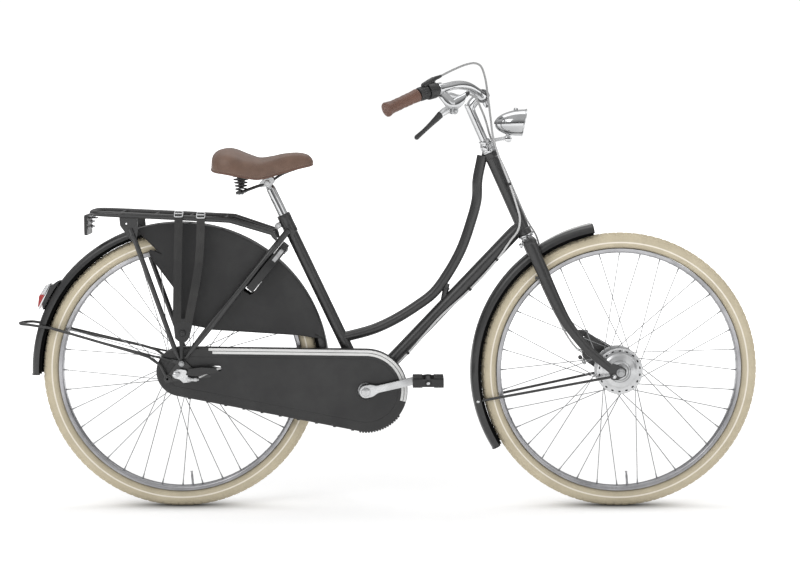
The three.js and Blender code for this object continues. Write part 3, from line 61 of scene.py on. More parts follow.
# places on the bike, in millimetres from the rear axle and from the ground
middle = 536.68         # the scene's origin lies this far in front of the rear axle
rear = Vector((0, 0, 358))
front = Vector((1137, 0, 358))
bracket = Vector((481, 0, 311))
forkOffset = 76.7
headTurn = math.radians(65.7)
seatTurn = math.radians(64.6)
steerUp = Vector((-math.cos(headTurn), 0, math.sin(headTurn)))
steerOut = Vector((math.sin(headTurn), 0, math.cos(headTurn)))
steerFoot = front - steerOut * forkOffset
seatUp = Vector((-math.cos(seatTurn), 0, math.sin(seatTurn)))
seatOut = Vector((math.sin(seatTurn), 0, math.cos(seatTurn)))
acrossBike = Vector((0, 1, 0))
standPin = (-28, 0, 344)


def onSteer(along, forward=0, side=0):
    return steerFoot + steerUp * along + steerOut * forward + acrossBike * side


def onSeat(along, forward=0, side=0):
    return bracket + seatUp * along + seatOut * forward + acrossBike * side


def onWheel(axle, turn, radius, side=0):
    return Vector((axle.x + math.cos(turn) * radius, side, axle.z + math.sin(turn) * radius))


def inMetres(place):
    return (place.x - middle) / 1000, place.y / 1000, place.z / 1000


def smoothPath(points, count):
    # centripetal Catmull-Rom through every point, then evened out along its length
    pts = [Vector(p) for p in points]
    ends = [pts[0] * 2 - pts[1]] + pts + [pts[-1] * 2 - pts[-2]]
    perSpan = 24
    raw = []
    for i in range(len(pts) - 1):
        p0, p1, p2, p3 = ends[i:i + 4]
        d0, d1, d2 = [max((b - a).length ** 0.5, 1e-3) for a, b in ((p0, p1), (p1, p2), (p2, p3))]
        t1 = ((p1 - p0) / d0 - (p2 - p0) / (d0 + d1) + (p2 - p1) / d1) * d1
        t2 = ((p2 - p1) / d1 - (p3 - p1) / (d1 + d2) + (p3 - p2) / d2) * d1
        square, cube = p1 * -3 + p2 * 3 - t1 * 2 - t2, p1 * 2 - p2 * 2 + t1 + t2
        for k in range(perSpan):
            t = k / perSpan
            raw.append(p1 + t1 * t + square * t * t + cube * t ** 3)
    raw.append(pts[-1])
    return evenPath(raw, count)


def evenPath(points, count):
    reach = [0]
    for a, b in zip(points, points[1:]):
        reach.append(reach[-1] + (b - a).length)
    out, i = [], 0
    for k in range(count + 1):
        want = reach[-1] * k / count
        while i < len(points) - 2 and reach[i + 1] < want:
            i += 1
        share = (want - reach[i]) / max(reach[i + 1] - reach[i], 1e-9)
        out.append(points[i].lerp(points[i + 1], min(max(share, 0), 1)))
    return out


def cornerArc(first, corner, last, steps):
    shares = [k / steps for k in range(steps + 1)]
    return [first * (1 - t) ** 2 + corner * 2 * t * (1 - t) + last * t * t for t in shares]


def bentPath(points, radius, steps=6):
    # straight runs with a round bend at each inner point
    pts = [Vector(p) for p in points]
    out = [pts[0]]
    for a, b, c in zip(pts, pts[1:], pts[2:]):
        back, on = a - b, c - b
        cut = min(radius / math.tan(back.angle(on) / 2), back.length * 0.48, on.length * 0.48)
        out += cornerArc(b + back.normalized() * cut, b, b + on.normalized() * cut, steps)
    return out + [pts[-1]]


def roundedOutline(points, radius, steps=5):
    # a closed outline with its corners rounded, all but those that are nearly straight
    pts = [Vector((a, b, 0)) for a, b in points]
    out = []
    for i, b in enumerate(pts):
        back, on = pts[i - 1] - b, pts[(i + 1) % len(pts)] - b
        half = back.angle(on) / 2
        if half > math.radians(86):
            out.append(b)
            continue
        cut = min(radius / math.tan(half), back.length * 0.45, on.length * 0.45)
        out += cornerArc(b + back.normalized() * cut, b, b + on.normalized() * cut, steps)
    return [(q.x, q.y) for q in out]


def otherSide(points):
    # the same line on the other side of the bike, read backwards
    return [Vector((x, -y, z)) for x, y, z in reversed(points)]


def framesAlong(path, side=None):
    out, across = [], None
    for i, point in enumerate(path):
        heading = (path[min(i + 1, len(path) - 1)] - path[max(i - 1, 0)]).normalized()
        if side is not None:
            across = side
        elif across is None:
            across = acrossBike if abs(heading.y) < 0.9 else Vector((1, 0, 0))
        across = (across - heading * across.dot(heading)).normalized()
        out.append((point, across.cross(heading).normalized(), across))
    return out


def through(values, count):
    # lists of numbers read smoothly at even shares, passing through every one
    ends = [values[0]] + list(values) + [values[-1]]
    out = []
    for k in range(count + 1):
        s = k / count * (len(values) - 1)
        i = min(int(s), len(values) - 2)
        t = s - i
        out.append([0.5 * (2 * b + (c - a) * t + (2 * a - 5 * b + 4 * c - d) * t * t
                           + (3 * b - a - 3 * c + d) * t ** 3) for a, b, c, d in zip(*ends[i:i + 4])])
    return out


def turnsRound(count):
    return [2 * math.pi * i / count for i in range(count)]


def ovalRing(a, b, sides):
    return [(math.cos(t) * a, math.sin(t) * b) for t in turnsRound(sides)]


def ovalRings(sizes, count, sides):
    # ovals that grow smoothly through the sizes given
    return [ovalRing(a, b, sides) for a, b in through(sizes, count)]


def ringOf(x, z, radius, sides=32):
    return [(x + math.cos(t) * radius, z + math.sin(t) * radius) for t in turnsRound(sides)]


def oblong(a, b, x=0, z=0):
    return [(x - a, z - b), (x + a, z - b), (x + a, z + b), (x - a, z + b)]


def roundTwo(first, second, steps, grow=0):
    # the outline round two discs (x, z, radius)
    reach = math.hypot(second[0] - first[0], second[1] - first[1])
    heading = math.atan2(second[1] - first[1], second[0] - first[0])
    spread = math.acos((first[2] - second[2]) / reach)

    def arc(c, low, high):
        turns = [low + (high - low) * i / steps for i in range(steps + 1)]
        return [(c[0] + math.cos(t) * (c[2] + grow), c[1] + math.sin(t) * (c[2] + grow)) for t in turns]
    return arc(second, heading - spread, heading + spread) + arc(
        first, heading + spread, heading + 2 * math.pi - spread)


class Shape:
    # closed skins in millimetres, gathered before they become one mesh
    def __init__(self):
        self.points, self.faces, self.uvs, self.marks = [], [], [], []

    def face(self, corners, uvs, mark):
        self.faces.append(tuple(corners))
        self.uvs.append(tuple(uvs))
        self.marks.append(mark)

    def skin(self, rows, closed=False, caps=True, mark=0):
        # a net through rows of points; uv counts metres round the girth and along the run
        first, n, mid = len(self.points), len(rows[0]), rows[len(rows) // 2]
        girth = sum((mid[i] - mid[i - 1]).length for i in range(n)) / 1000
        run = [0]
        for a, b in zip(rows, rows[1:] + rows[:1]):
            run.append(run[-1] + max((a[0] - b[0]).length, (a[n // 2] - b[n // 2]).length) / 1000)
        for row in rows:
            self.points += row
        for r in range(len(rows) if closed else len(rows) - 1):
            here, there = first + r * n, first + (r + 1) % len(rows) * n
            for i in range(n):
                j, u, w = (i + 1) % n, girth * i / n, girth * (i + 1) / n
                self.face((here + i, here + j, there + j, there + i),
                          ((u, run[r]), (w, run[r]), (w, run[r + 1]), (u, run[r + 1])), mark)
        for r in (0, len(rows) - 1) if caps and not closed else ():
            self.points.append(sum(rows[r], Vector()) / n)
            for i in range(n):
                u, w = girth * i / n, girth * (i + 1) / n
                self.face((first + r * n + i, first + r * n + (i + 1) % n, len(self.points) - 1),
                          ((u, run[r]), (w, run[r]), (u, run[r])), mark)
        return self

    def sweep(self, path, rings, side=None, mark=0):
        rows = []
        for (point, up, across), ring in zip(framesAlong(path, side), rings):
            rows.append([point + up * a + across * b for a, b in ring])
        return self.skin(rows, mark=mark)

    def bead(self, line, across, ring, mark=0):
        # a ring run along a closed line
        rows = []
        for i, point in enumerate(line):
            heading = (line[(i + 1) % len(line)] - line[i - 1]).normalized()
            out = heading.cross(across)
            rows.append([point + out * a + across * b for a, b in ring])
        return self.skin(rows, closed=True, mark=mark)

    def tube(self, path, radius, sides=24, mark=0):
        radii = radius if isinstance(radius, (list, tuple)) else [radius] * len(path)
        return self.sweep(path, [ovalRing(r, r, sides) for r in radii], mark=mark)

    def rod(self, a, b, radius, sides=24, mark=0):
        return self.tube([Vector(a), Vector(b)], radius, sides, mark)

    def cross(self, at, low, high, radius, sides=24, mark=0):
        return self.rod((at[0], low, at[-1]), (at[0], high, at[-1]), radius, sides, mark)

    def lathe(self, at, axis, profile, sides=48, mark=0):
        axis = Vector(axis).normalized()
        out = Vector((1, 0, 0)) if abs(axis.x) < 0.9 else Vector((0, 0, 1))
        out = (out - axis * out.dot(axis)).normalized()
        other = axis.cross(out)
        rows = []
        for r, a in profile:
            rows.append([Vector(at) + axis * a + (out * math.cos(t) + other * math.sin(t)) * r
                         for t in turnsRound(sides)])
        return self.skin(rows, caps=False, mark=mark)

    def plate(self, outline, low, high, holes=(), spot=None, mark=0):
        # an outline in two directions, drawn out along the third; spot turns (a, b, depth) into a place
        spot = spot or (lambda a, b, depth: Vector((a, depth, b)))
        loops = [list(outline)] + [list(hole) for hole in holes]
        corners = [p for loop in loops for p in loop]
        first, count = len(self.points), len(corners)
        for depth in (low, high):
            self.points += [spot(a, b, depth) for a, b in corners]
        for tri in tessellate_polygon([[Vector((a, b, 0)) for a, b in loop] for loop in loops]):
            for lift in (0, count):
                self.face([first + lift + i for i in tri], [
                    (corners[i][0] / 1000, corners[i][1] / 1000) for i in tri], mark)
        start, wall = 0, abs(high - low) / 1000
        for loop in loops:
            run = 0
            for i in range(len(loop)):
                a, b = start + i, start + (i + 1) % len(loop)
                step = math.dist(corners[a], corners[b]) / 1000
                self.face((first + a, first + b, first + count + b, first + count + a),
                          ((run, 0), (run + step, 0), (run + step, wall), (run, wall)), mark)
                run += step
            start += len(loop)
        return self

    def box(self, size, centre, mark=0):
        x, y, z = centre
        return self.plate(oblong(size[0] / 2, size[2] / 2, x, z), y - size[1] / 2, y + size[1] / 2, mark=mark)

    def both(self, build):
        # what build adds is added again on the other side
        start, faces = len(self.points), len(self.faces)
        build()
        shift = len(self.points) - start
        self.points += [Vector((p.x, -p.y, p.z)) for p in self.points[start:]]
        self.faces += [tuple(i + shift for i in reversed(f)) for f in self.faces[faces:]]
        self.uvs += [tuple(reversed(uv)) for uv in self.uvs[faces:]]
        self.marks += self.marks[faces:]


def hexBolt(shape, at, axis, radius, height, mark=0):
    # a six-sided head with its corners turned down, on a washer
    axis = Vector(axis).normalized()
    shape.lathe(at, axis, [(0, 0), (radius * 1.22, 0), (radius * 1.22, 1.0), (0, 1.0)], 32, mark=mark)
    head = [(0, 0), (radius, 0), (radius, height - 1.2), (radius * 0.84, height - 0.3), (0, height)]
    shape.lathe(Vector(at) + axis, axis, head, 6, mark=mark)


def easeEdges(work, flatTurn, edgeTurn, width, steps, **limits):
    # flat runs of faces become one face each, and the edges between them are bevelled
    bmesh.ops.dissolve_limit(work, angle_limit=math.radians(flatTurn), verts=work.verts, edges=work.edges, **limits)
    edges = [e for e in work.edges if len(e.link_faces) == 2 and e.calc_face_angle(0) > math.radians(edgeTurn)]
    bmesh.ops.bevel(work, geom=edges, offset=width / 1000, segments=steps, profile=0.6, affect="EDGES",
                    clamp_overlap=True, material=-1)


def smoothed(mesh, sharp):
    mesh.polygons.foreach_set("use_smooth", [True] * len(mesh.polygons))
    mesh.set_sharp_from_angle(angle=math.radians(sharp))
    return mesh


def meshOf(shape, name, bevel=0, sharp=38):
    mesh = bpy.data.meshes.new(name)
    mesh.from_pydata([inMetres(p) for p in shape.points], [], shape.faces)
    layer = mesh.uv_layers.new(name="surface")
    layer.data.foreach_set("uv", [c for face in shape.uvs for uv in face for c in uv])
    mesh.polygons.foreach_set("material_index", shape.marks)
    work = bmesh.new()
    work.from_mesh(mesh)
    bmesh.ops.remove_doubles(work, verts=work.verts, dist=2e-6)
    bmesh.ops.dissolve_degenerate(work, dist=1e-6, edges=work.edges)
    bmesh.ops.recalc_face_normals(work, faces=work.faces)
    if bevel:
        easeEdges(work, 0.5, 30, bevel, 2, delimit={"MATERIAL"})
    work.to_mesh(mesh)
    work.free()
    return smoothed(mesh, sharp)


def linked(name, data):
    piece = bpy.data.objects.new(name, data)
    scene.collection.objects.link(piece)
    return piece


def dress(mesh, name, finishes, body, nodes=()):
    piece = linked(name, mesh)
    if len(mesh.materials):
        mesh.materials.clear()
    for finish in finishes if isinstance(finishes, (list, tuple)) else [finishes]:
        mesh.materials.append(finish)
    if body:
        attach(piece, body)
    if nodes:
        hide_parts(*nodes)
    return piece


def addPiece(shape, name, finishes, body, nodes=(), bevel=0, sharp=38):
    return dress(meshOf(shape, name, bevel, sharp), name, finishes, body, nodes)


def softCopy(node, name, finishes, body, bevel, steps, sharp=34):
    # a CAD node's own form, merged and with its edges eased
    mesh = bpy.data.objects[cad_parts[node].name].data.copy()
    work = bmesh.new()
    work.from_mesh(mesh)
    bmesh.ops.remove_doubles(work, verts=work.verts, dist=1e-5)
    bmesh.ops.dissolve_degenerate(work, dist=1e-5, edges=work.edges)
    easeEdges(work, 0.6, 32, bevel, steps)
    work.to_mesh(mesh)
    work.free()
    return dress(smoothed(mesh, sharp), name, finishes, body, (node,))


def makeNode(tree, kind, settings=(), sockets=()):
    # one node: its settings first, then a value or a link for each socket
    node = tree.nodes.new(kind)
    for label, value in dict(settings).items():
        if label == "stops":
            stops = node.color_ramp.elements
            for i, (place, tone) in enumerate(value):
                stop = stops[i] if i < 2 else stops.new(place)
                stop.position, stop.color = place, (*tone, 1)
        else:
            setattr(node, label, value)
    for label, value in dict(sockets).items():
        socket, value = node.inputs[label], value.socket if isinstance(value, Num) else value
        if isinstance(value, bpy.types.NodeSocket):
            tree.links.new(value, socket)
        else:
            socket.default_value = (*value, 1) if socket.type == "RGBA" else value
    return node


# shader sums
class Num:
    def __init__(self, tree, socket):
        self.tree, self.socket = tree, socket

    def do(self, kind, *others, clamp=False, swapped=False):
        values = (*others, self) if swapped else (self, *others)
        node = makeNode(self.tree, "ShaderNodeMath", {"operation": kind, "use_clamp": clamp}, enumerate(values))
        return Num(self.tree, node.outputs[0])

    def __add__(self, other):
        return self.do("ADD", other)

    def __sub__(self, other):
        return self.do("SUBTRACT", other)

    def __mul__(self, other):
        return self.do("MULTIPLY", other)

    def __truediv__(self, other):
        return self.do("DIVIDE", other)

    def __pow__(self, other):
        return self.do("POWER", other)

    def __radd__(self, other):
        return self.do("ADD", other, swapped=True)

    def __rsub__(self, other):
        return self.do("SUBTRACT", other, swapped=True)

    def __rmul__(self, other):
        return self.do("MULTIPLY", other, swapped=True)

    def __rtruediv__(self, other):
        return self.do("DIVIDE", other, swapped=True)

    def __rpow__(self, other):
        return self.do("POWER", other, swapped=True)

    def above(self, edge, soft=0.02):
        return ((self - edge) / soft + 0.5).do("ADD", 0.0, clamp=True)

    def within(self, centre, half, soft=0.0003):
        return ((self - centre).do("ABSOLUTE") - half).do("MULTIPLY", -1 / soft).do("ADD", 0.5, clamp=True)

    def wave(self, period):
        return (self * (2 * math.pi / period)).do("SINE") * 0.5 + 0.5


class Finish:
    def __init__(self, name, **fixed):
        self.material = bpy.data.materials.new(name)
        self.material.use_nodes = True
        self.tree = self.material.node_tree
        self.shader = self.tree.nodes["Principled BSDF"]
        self.places = makeNode(self.tree, "ShaderNodeTexCoord").outputs
        for label, value in fixed.items():
            socket = self.shader.inputs[label.replace("_", " ")]
            socket.default_value = (*value, 1) if isinstance(value, tuple) else value
        self.material.diffuse_color = self.shader.inputs["Base Color"].default_value[:]

    def noise(self, scale, detail=3, rough=0.55, stretch=None, twist=0):
        where = self.places["Object"]
        if stretch:
            where = makeNode(self.tree, "ShaderNodeMapping", (), {"Scale": stretch, "Vector": where}).outputs[0]
        sockets = {"Scale": scale, "Detail": detail, "Roughness": rough, "Distortion": twist, "Vector": where}
        return Num(self.tree, makeNode(self.tree, "ShaderNodeTexNoise", (), sockets).outputs["Fac"])

    def cells(self, scale):
        sockets = {"Scale": scale, "Vector": self.places["Object"]}
        return Num(self.tree, makeNode(self.tree, "ShaderNodeTexVoronoi", (), sockets).outputs["Distance"])

    def axis(self, letter, source="Object"):
        split = makeNode(self.tree, "ShaderNodeSeparateXYZ", (), {0: self.places[source]})
        return Num(self.tree, split.outputs[letter])

    def colour(self, factor, first, second):
        return makeNode(self.tree, "ShaderNodeMix", {"data_type": "RGBA"},
                        {0: factor, 6: first, 7: second}).outputs[2]

    def set(self, label, value):
        self.tree.links.new(value.socket if isinstance(value, Num) else value, self.shader.inputs[label])

    def bump(self, height, strength, depth=0.0004):
        # the last step of a finish: its relief, and the material that it gives
        sockets = {"Strength": strength, "Distance": depth, "Height": height}
        self.set("Normal", makeNode(self.tree, "ShaderNodeBump", (), sockets).outputs["Normal"])
        return self.material


def enamel(name, dark, dusty, rough, coat, peel=0.05):
    f = Finish(name, Base_Color=dark, Roughness=rough, Coat_Roughness=0.2, Specular_IOR_Level=0.5)
    cloud = f.noise(7, 4, 0.6)
    fine = f.noise(160, 3, 0.6)
    f.set("Base Color", f.colour((cloud * 0.7 + fine * 0.3).above(0.56, 0.3), dark, dusty))
    f.set("Roughness", cloud * 0.10 + fine * 0.05 + (rough - 0.07))
    f.set("Coat Weight", cloud * 0.2 + (coat - 0.1))
    return f.bump(f.noise(620, 2, 0.5), peel, 0.0003)


def moulded(name, dark, pale, rough, grainScale=900, grain=0.25, shine=0.5):
    f = Finish(name, Base_Color=dark, Roughness=rough, Specular_IOR_Level=shine)
    cloud = f.noise(9, 4, 0.6)
    f.set("Base Color", f.colour(cloud.above(0.56, 0.3), dark, pale))
    f.set("Roughness", cloud * 0.2 + (rough - 0.1))
    return f.bump(f.cells(grainScale), grain, 0.0002)


def bright(name, tone, shade, rough, scratch):
    f = Finish(name, Base_Color=tone, Metallic=1.0, Roughness=rough)
    cloud = f.noise(16, 4, 0.6)
    hair = f.noise(1.4, 4, 0.7, stretch=(40, 900, 900))
    f.set("Base Color", f.colour(cloud.above(0.58, 0.35), tone, shade))
    f.set("Roughness", cloud * rough * 0.7 + hair * rough * 0.7 + rough * 0.3)
    return f.bump(hair, scratch, 0.0001)


def galvanised(name, tone, shade, rough):
    f = Finish(name, Base_Color=tone, Metallic=0.95, Roughness=rough)
    plates = f.cells(420)
    cloud = f.noise(30, 4, 0.6)
    f.set("Base Color", f.colour((plates * 0.5 + cloud * 0.5).above(0.45, 0.5), tone, shade))
    f.set("Roughness", cloud * 0.2 + (rough - 0.1))
    return f.bump(f.noise(700, 3, 0.6), 0.08, 0.0002)


def tyreRubber(name, cream, worn, line, lineAt, lineHalf):
    # the second uv runs across the tyre's section
    f = Finish(name, Base_Color=cream, Roughness=0.72)
    across = f.axis("Y", "UV")
    cloud = f.noise(14, 5, 0.65)
    speck = f.noise(300, 3, 0.7)
    base = f.colour((cloud * 0.6 + speck * 0.4).above(0.52, 0.24), cream, worn)
    stripes = across.within(lineAt[0], lineHalf) + across.within(lineAt[1], lineHalf)
    f.set("Base Color", f.colour(stripes, base, line))
    f.set("Roughness", cloud * 0.2 + 0.62)
    ribs = across.wave(0.0019) * 0.35 + f.noise(520, 3, 0.6) * 0.5
    return f.bump(ribs + stripes * 0.8, 0.28, 0.0005)


def hide(name, tan, dark, rough, grainScale=620, creases=0.5):
    f = Finish(name, Base_Color=tan, Roughness=rough, Sheen_Weight=0.08)
    cloud = f.noise(11, 5, 0.62)
    worn = f.noise(46, 4, 0.6)
    pits = f.cells(grainScale)
    f.set("Base Color", f.colour((cloud * 0.55 + worn * 0.3 + pits * 0.3).above(0.53, 0.34), dark, tan))
    f.set("Roughness", cloud * 0.2 + pits * 0.12 + (rough - 0.14))
    folds = f.noise(32, 5, 0.7, twist=0.7)
    return f.bump(pits * 0.6 + folds * creases, 0.42, 0.0006)


def lensPlastic(name, tint, deep, clear, cell, clearAbove=None):
    f = Finish(name, Base_Color=tint, Roughness=0.12, Transmission_Weight=clear, IOR=1.49, Coat_Weight=0.5)
    prisms = f.axis("Y").wave(cell) * 0.5 + f.axis("Z").wave(cell) * 0.5
    shown = f.colour(prisms.above(0.5, 0.6), deep, tint)
    if clearAbove:      # the upper part of the lens is clear
        shown = f.colour(f.axis("Z").above(clearAbove, 0.002), shown, (0.72, 0.73, 0.74))
    f.set("Base Color", shown)
    f.set("Roughness", f.noise(60) * 0.1 + 0.06)
    return f.bump(prisms, 0.5, 0.0008)


enamelBlack = enamel("frameEnamel", (0.0155, 0.0155, 0.016), (0.030, 0.030, 0.030), 0.36, 0.36)
guardBlack = enamel("mudguardEnamel", (0.0165, 0.0165, 0.017), (0.033, 0.033, 0.032), 0.38, 0.34)
blackSpring = enamel("springEnamel", (0.013, 0.013, 0.0135), (0.03, 0.03, 0.03), 0.34, 0.4)
paleTrim = enamel("paleTrim", (0.74, 0.74, 0.73), (0.62, 0.62, 0.61), 0.32, 0.3)
casePlastic = moulded("chaincasePlastic", (0.012, 0.012, 0.0125), (0.026, 0.026, 0.026), 0.34, 1100, 0.12)
skirtVinyl = moulded("coatGuardVinyl", (0.0105, 0.0105, 0.011), (0.024, 0.024, 0.024), 0.48, 760, 0.35)
darkPlastic = moulded("controlPlastic", (0.014, 0.014, 0.0145), (0.030, 0.030, 0.030), 0.42)
pedalRubber = moulded("pedalRubber", (0.016, 0.016, 0.016), (0.038, 0.037, 0.036), 0.66, 500, 0.45)
strapRubber = moulded("strapRubber", (0.013, 0.013, 0.013), (0.034, 0.033, 0.032), 0.58, 640, 0.4)
# near black with hardly any shine: painted shade for the dark band between each mudguard and its tyre, on the folds
# and beads
guardShadeBlack = moulded("mudguardPaintedShade", (0.0035, 0.0035, 0.0035), (0.006, 0.006, 0.006), 0.8, 500, 0.2, shine=0.03)
chrome = bright("chromePlate", (0.55, 0.555, 0.56), (0.40, 0.405, 0.41), 0.11, 0.02)
alloy = bright("hubAlloy", (0.62, 0.625, 0.63), (0.43, 0.435, 0.44), 0.30, 0.10)
rimAlloy = bright("rimAlloy", (0.44, 0.44, 0.455), (0.30, 0.30, 0.31), 0.33, 0.10)
zinc = galvanised("zincSteel", (0.55, 0.555, 0.56), (0.36, 0.365, 0.37), 0.38)
spokeSteel = galvanised("spokeSteel", (0.38, 0.385, 0.39), (0.27, 0.275, 0.28), 0.38)
saddleHide = hide("saddleHide", (0.168, 0.098, 0.068), (0.092, 0.053, 0.037), 0.40)
gripHide = hide("gripHide", (0.150, 0.072, 0.048), (0.080, 0.038, 0.027), 0.46, 800, 0.3)
threadTan = hide("stitchThread", (0.26, 0.175, 0.125), (0.17, 0.11, 0.08), 0.62, 1500, 0.1)
redPlastic = lensPlastic("redLens", (0.62, 0.02, 0.015), (0.30, 0.005, 0.005), 0.35, 0.0034)
tailPlastic = lensPlastic("tailLens", (0.62, 0.02, 0.015), (0.30, 0.005, 0.005), 0.35, 0.0034, clearAbove=0.556)
clearPlastic = lensPlastic("clearLens", (0.92, 0.93, 0.94), (0.78, 0.79, 0.80), 0.7, 0.005)
cable = Finish("cableHousing", Base_Color=(0.45, 0.45, 0.45), Roughness=0.42)      # paler along the frame
cableMark = cable.noise(60) * 0.3
# painted light and shade on the one grey housing: paler low along the frame, darker above 0.93 m by the bars, broken
# by random mottling
cableShadingAndMottle = cable.axis("Z").above(0.93, 0.16) - cableMark
cable.set("Base Color", cable.colour(cableShadingAndMottle, (0.56, 0.56, 0.56), (0.27, 0.27, 0.27)))
cable.set("Roughness", cableMark + 0.32)
cableSkin = cable.bump(cable.noise(900, 2), 0.1, 0.0002)
tyreSet = {"centre": 337.2, "halfHeight": 19.9, "halfWidth": 23.2, "turns": 160, "treadRise": 0.7, "treadCount": 108,
           "lineRadius": 332.3, "lineHalf": 0.0019}


def tyreSection():
    out = []
    for i in range(49):
        t = math.radians(-148 + 296 * i / 48)
        out.append((tyreSet["centre"] + math.cos(t) * tyreSet["halfHeight"],
                    math.sin(t) * tyreSet["halfWidth"] * (1 + 0.03 * math.cos(2 * t))))
    return out


def lineReach():
    # how far across the section the side lines lie, in metres
    run, found, section = 0, [], tyreSection()
    for a, b in zip(section, section[1:]):
        if (a[0] - tyreSet["lineRadius"]) * (b[0] - tyreSet["lineRadius"]) <= 0:
            found.append((run + math.dist(a, b) / 2) / 1000)
        run += math.dist(a, b)
    return found[0], found[-1]


creamRubber = tyreRubber("creamTyre", (0.60, 0.53, 0.385), (0.50, 0.437, 0.312), (0.86, 0.80, 0.69), lineReach(),
                         tyreSet["lineHalf"])
print("finishes made")


# what repeats round an axle or along a path
def repeatTree(name, sockets):
    tree = bpy.data.node_groups.new(name, "GeometryNodeTree")
    for label, kind, value in sockets:
        socket = tree.interface.new_socket(label, in_out="INPUT", socket_type="NodeSocket" + kind)
        if value is not None:
            socket.default_value = value
    tree.interface.new_socket("Geometry", in_out="OUTPUT", socket_type="NodeSocketGeometry")
    return tree, tree.nodes.new("NodeGroupInput").outputs


def copiesOn(tree, points, piece, rotation):
    info = makeNode(tree, "GeometryNodeObjectInfo", (), {"Object": piece})
    sockets = {"Points": points, "Instance": info.outputs["Geometry"], "Rotation": rotation}
    copies = makeNode(tree, "GeometryNodeInstanceOnPoints", (), sockets)
    return makeNode(tree, "GeometryNodeRealizeInstances", (), {0: copies.outputs[0]}).outputs[0]


def finishTree(tree, geometry, finish):
    paint = makeNode(tree, "GeometryNodeSetMaterial", (), {"Geometry": geometry, "Material": finish})
    makeNode(tree, "NodeGroupOutput", (), {0: paint.outputs[0]})
    return tree


def buildRoundTree():
    # copies of one piece turned round an axle in even steps
    tree, given = repeatTree("roundTheAxle", (
        ("Piece", "Object", None), ("Count", "Int", 18), ("First turn", "Float", 0.0), ("Step", "Float", 0.1),
        ("Axle", "Vector", None), ("Finish", "Material", None)))
    points = makeNode(tree, "GeometryNodePoints", (), {"Count": given["Count"]})
    index = makeNode(tree, "GeometryNodeInputIndex")
    turn = makeNode(tree, "ShaderNodeMath", {"operation": "MULTIPLY_ADD"},
                    {0: index.outputs[0], 1: given["Step"], 2: given["First turn"]})
    spin = makeNode(tree, "ShaderNodeCombineXYZ", (), {"Y": turn.outputs[0]})
    copies = copiesOn(tree, points.outputs[0], given["Piece"], spin.outputs[0])
    move = makeNode(tree, "GeometryNodeTransform", (), {"Geometry": copies, "Translation": given["Axle"]})
    return finishTree(tree, move.outputs[0], given["Finish"])


def buildPathTree():
    # copies of one piece set along a line, turned to follow it
    tree, given = repeatTree("alongThePath", (
        ("Path", "Object", None), ("Piece", "Object", None), ("Count", "Int", 20), ("Finish", "Material", None)))
    line = makeNode(tree, "GeometryNodeObjectInfo", (), {"Object": given["Path"]})
    curve = makeNode(tree, "GeometryNodeMeshToCurve", (), {0: line.outputs["Geometry"]})
    even = makeNode(tree, "GeometryNodeResampleCurve", (), {"Curve": curve.outputs[0], "Count": given["Count"]})
    tangent = makeNode(tree, "GeometryNodeInputTangent")
    face = makeNode(tree, "FunctionNodeAlignRotationToVector", {"axis": "X"}, {"Vector": tangent.outputs[0]})
    return finishTree(tree, copiesOn(tree, even.outputs[0], given["Piece"], face.outputs[0]), given["Finish"])


roundTree = buildRoundTree()
pathTree = buildPathTree()


def helperObject(shape, name):
    # a piece for a tree to copy, made round the scene's origin
    mesh = meshOf(shape, name)
    mesh.transform(Matrix.Translation((middle / 1000, 0, 0)))
    return linked(name, mesh)


def lineObject(path, name):
    mesh = bpy.data.meshes.new(name)
    mesh.from_pydata([inMetres(p) for p in path], [(i, i + 1) for i in range(len(path) - 1)], [])
    return linked(name, mesh)


def grown(tree, name, values, finish, body, helpers):
    values["Finish"] = finish
    carrier = linked(name + "Carrier", bpy.data.meshes.new(name + "Carrier"))
    modifier = carrier.modifiers.new("grow", "NODES")
    modifier.node_group = tree
    for socket in tree.interface.items_tree:
        if socket.in_out == "INPUT":
            modifier[socket.identifier] = values[socket.name]
    graph = bpy.context.evaluated_depsgraph_get()
    mesh = bpy.data.meshes.new_from_object(carrier.evaluated_get(graph), depsgraph=graph)
    mesh.name = name
    carrier.modifiers.clear()
    for spare in (carrier, *helpers):
        bpy.data.objects.remove(spare)
    return dress(smoothed(mesh, 38), name, finish, body, ())


# wheels
rimSet = {"flange": 317.2, "half": 15, "inner": 305.5}
spokeSet = {"radius": 1.12, "splay": 3, "rimReach": 304.6, "headOffset": 1.3, "nipple": 2.1, "nippleLength": 12}
wheelSet = {
    "front": {"axle": front, "body": "front_wheel", "hole": 54, "flangeY": 30, "crossing": 2},
    "rear": {"axle": rear, "body": "rear_wheel", "hole": 29, "flangeY": 27, "crossing": 3},
}
flangeStep = 4 * math.pi / 36       # from one hole of a flange to the next


def treadRow():
    # one row of low blocks across the crown, centred on the axle
    row = Shape()
    for turn, skew in ((-46, 1), (-24, -1), (0, 1), (24, -1), (46, 1)):
        t = math.radians(turn)
        out = Vector((0, math.sin(t), math.cos(t)))
        side = Vector((0, math.cos(t), -math.sin(t)))
        base = Vector((0, math.sin(t) * tyreSet["halfWidth"],
                       tyreSet["centre"] + math.cos(t) * tyreSet["halfHeight"]))
        along = Vector((1, 0, 0))
        rows = []
        for lift, grow in ((-1.2, 1), (tyreSet["treadRise"], 0.8)):
            rows.append([base + out * lift + along * (a + b * 0.35 * skew) * grow + side * b * grow
                         for a, b in oblong(9, 3.4)])
        row.skin(rows)
    return row


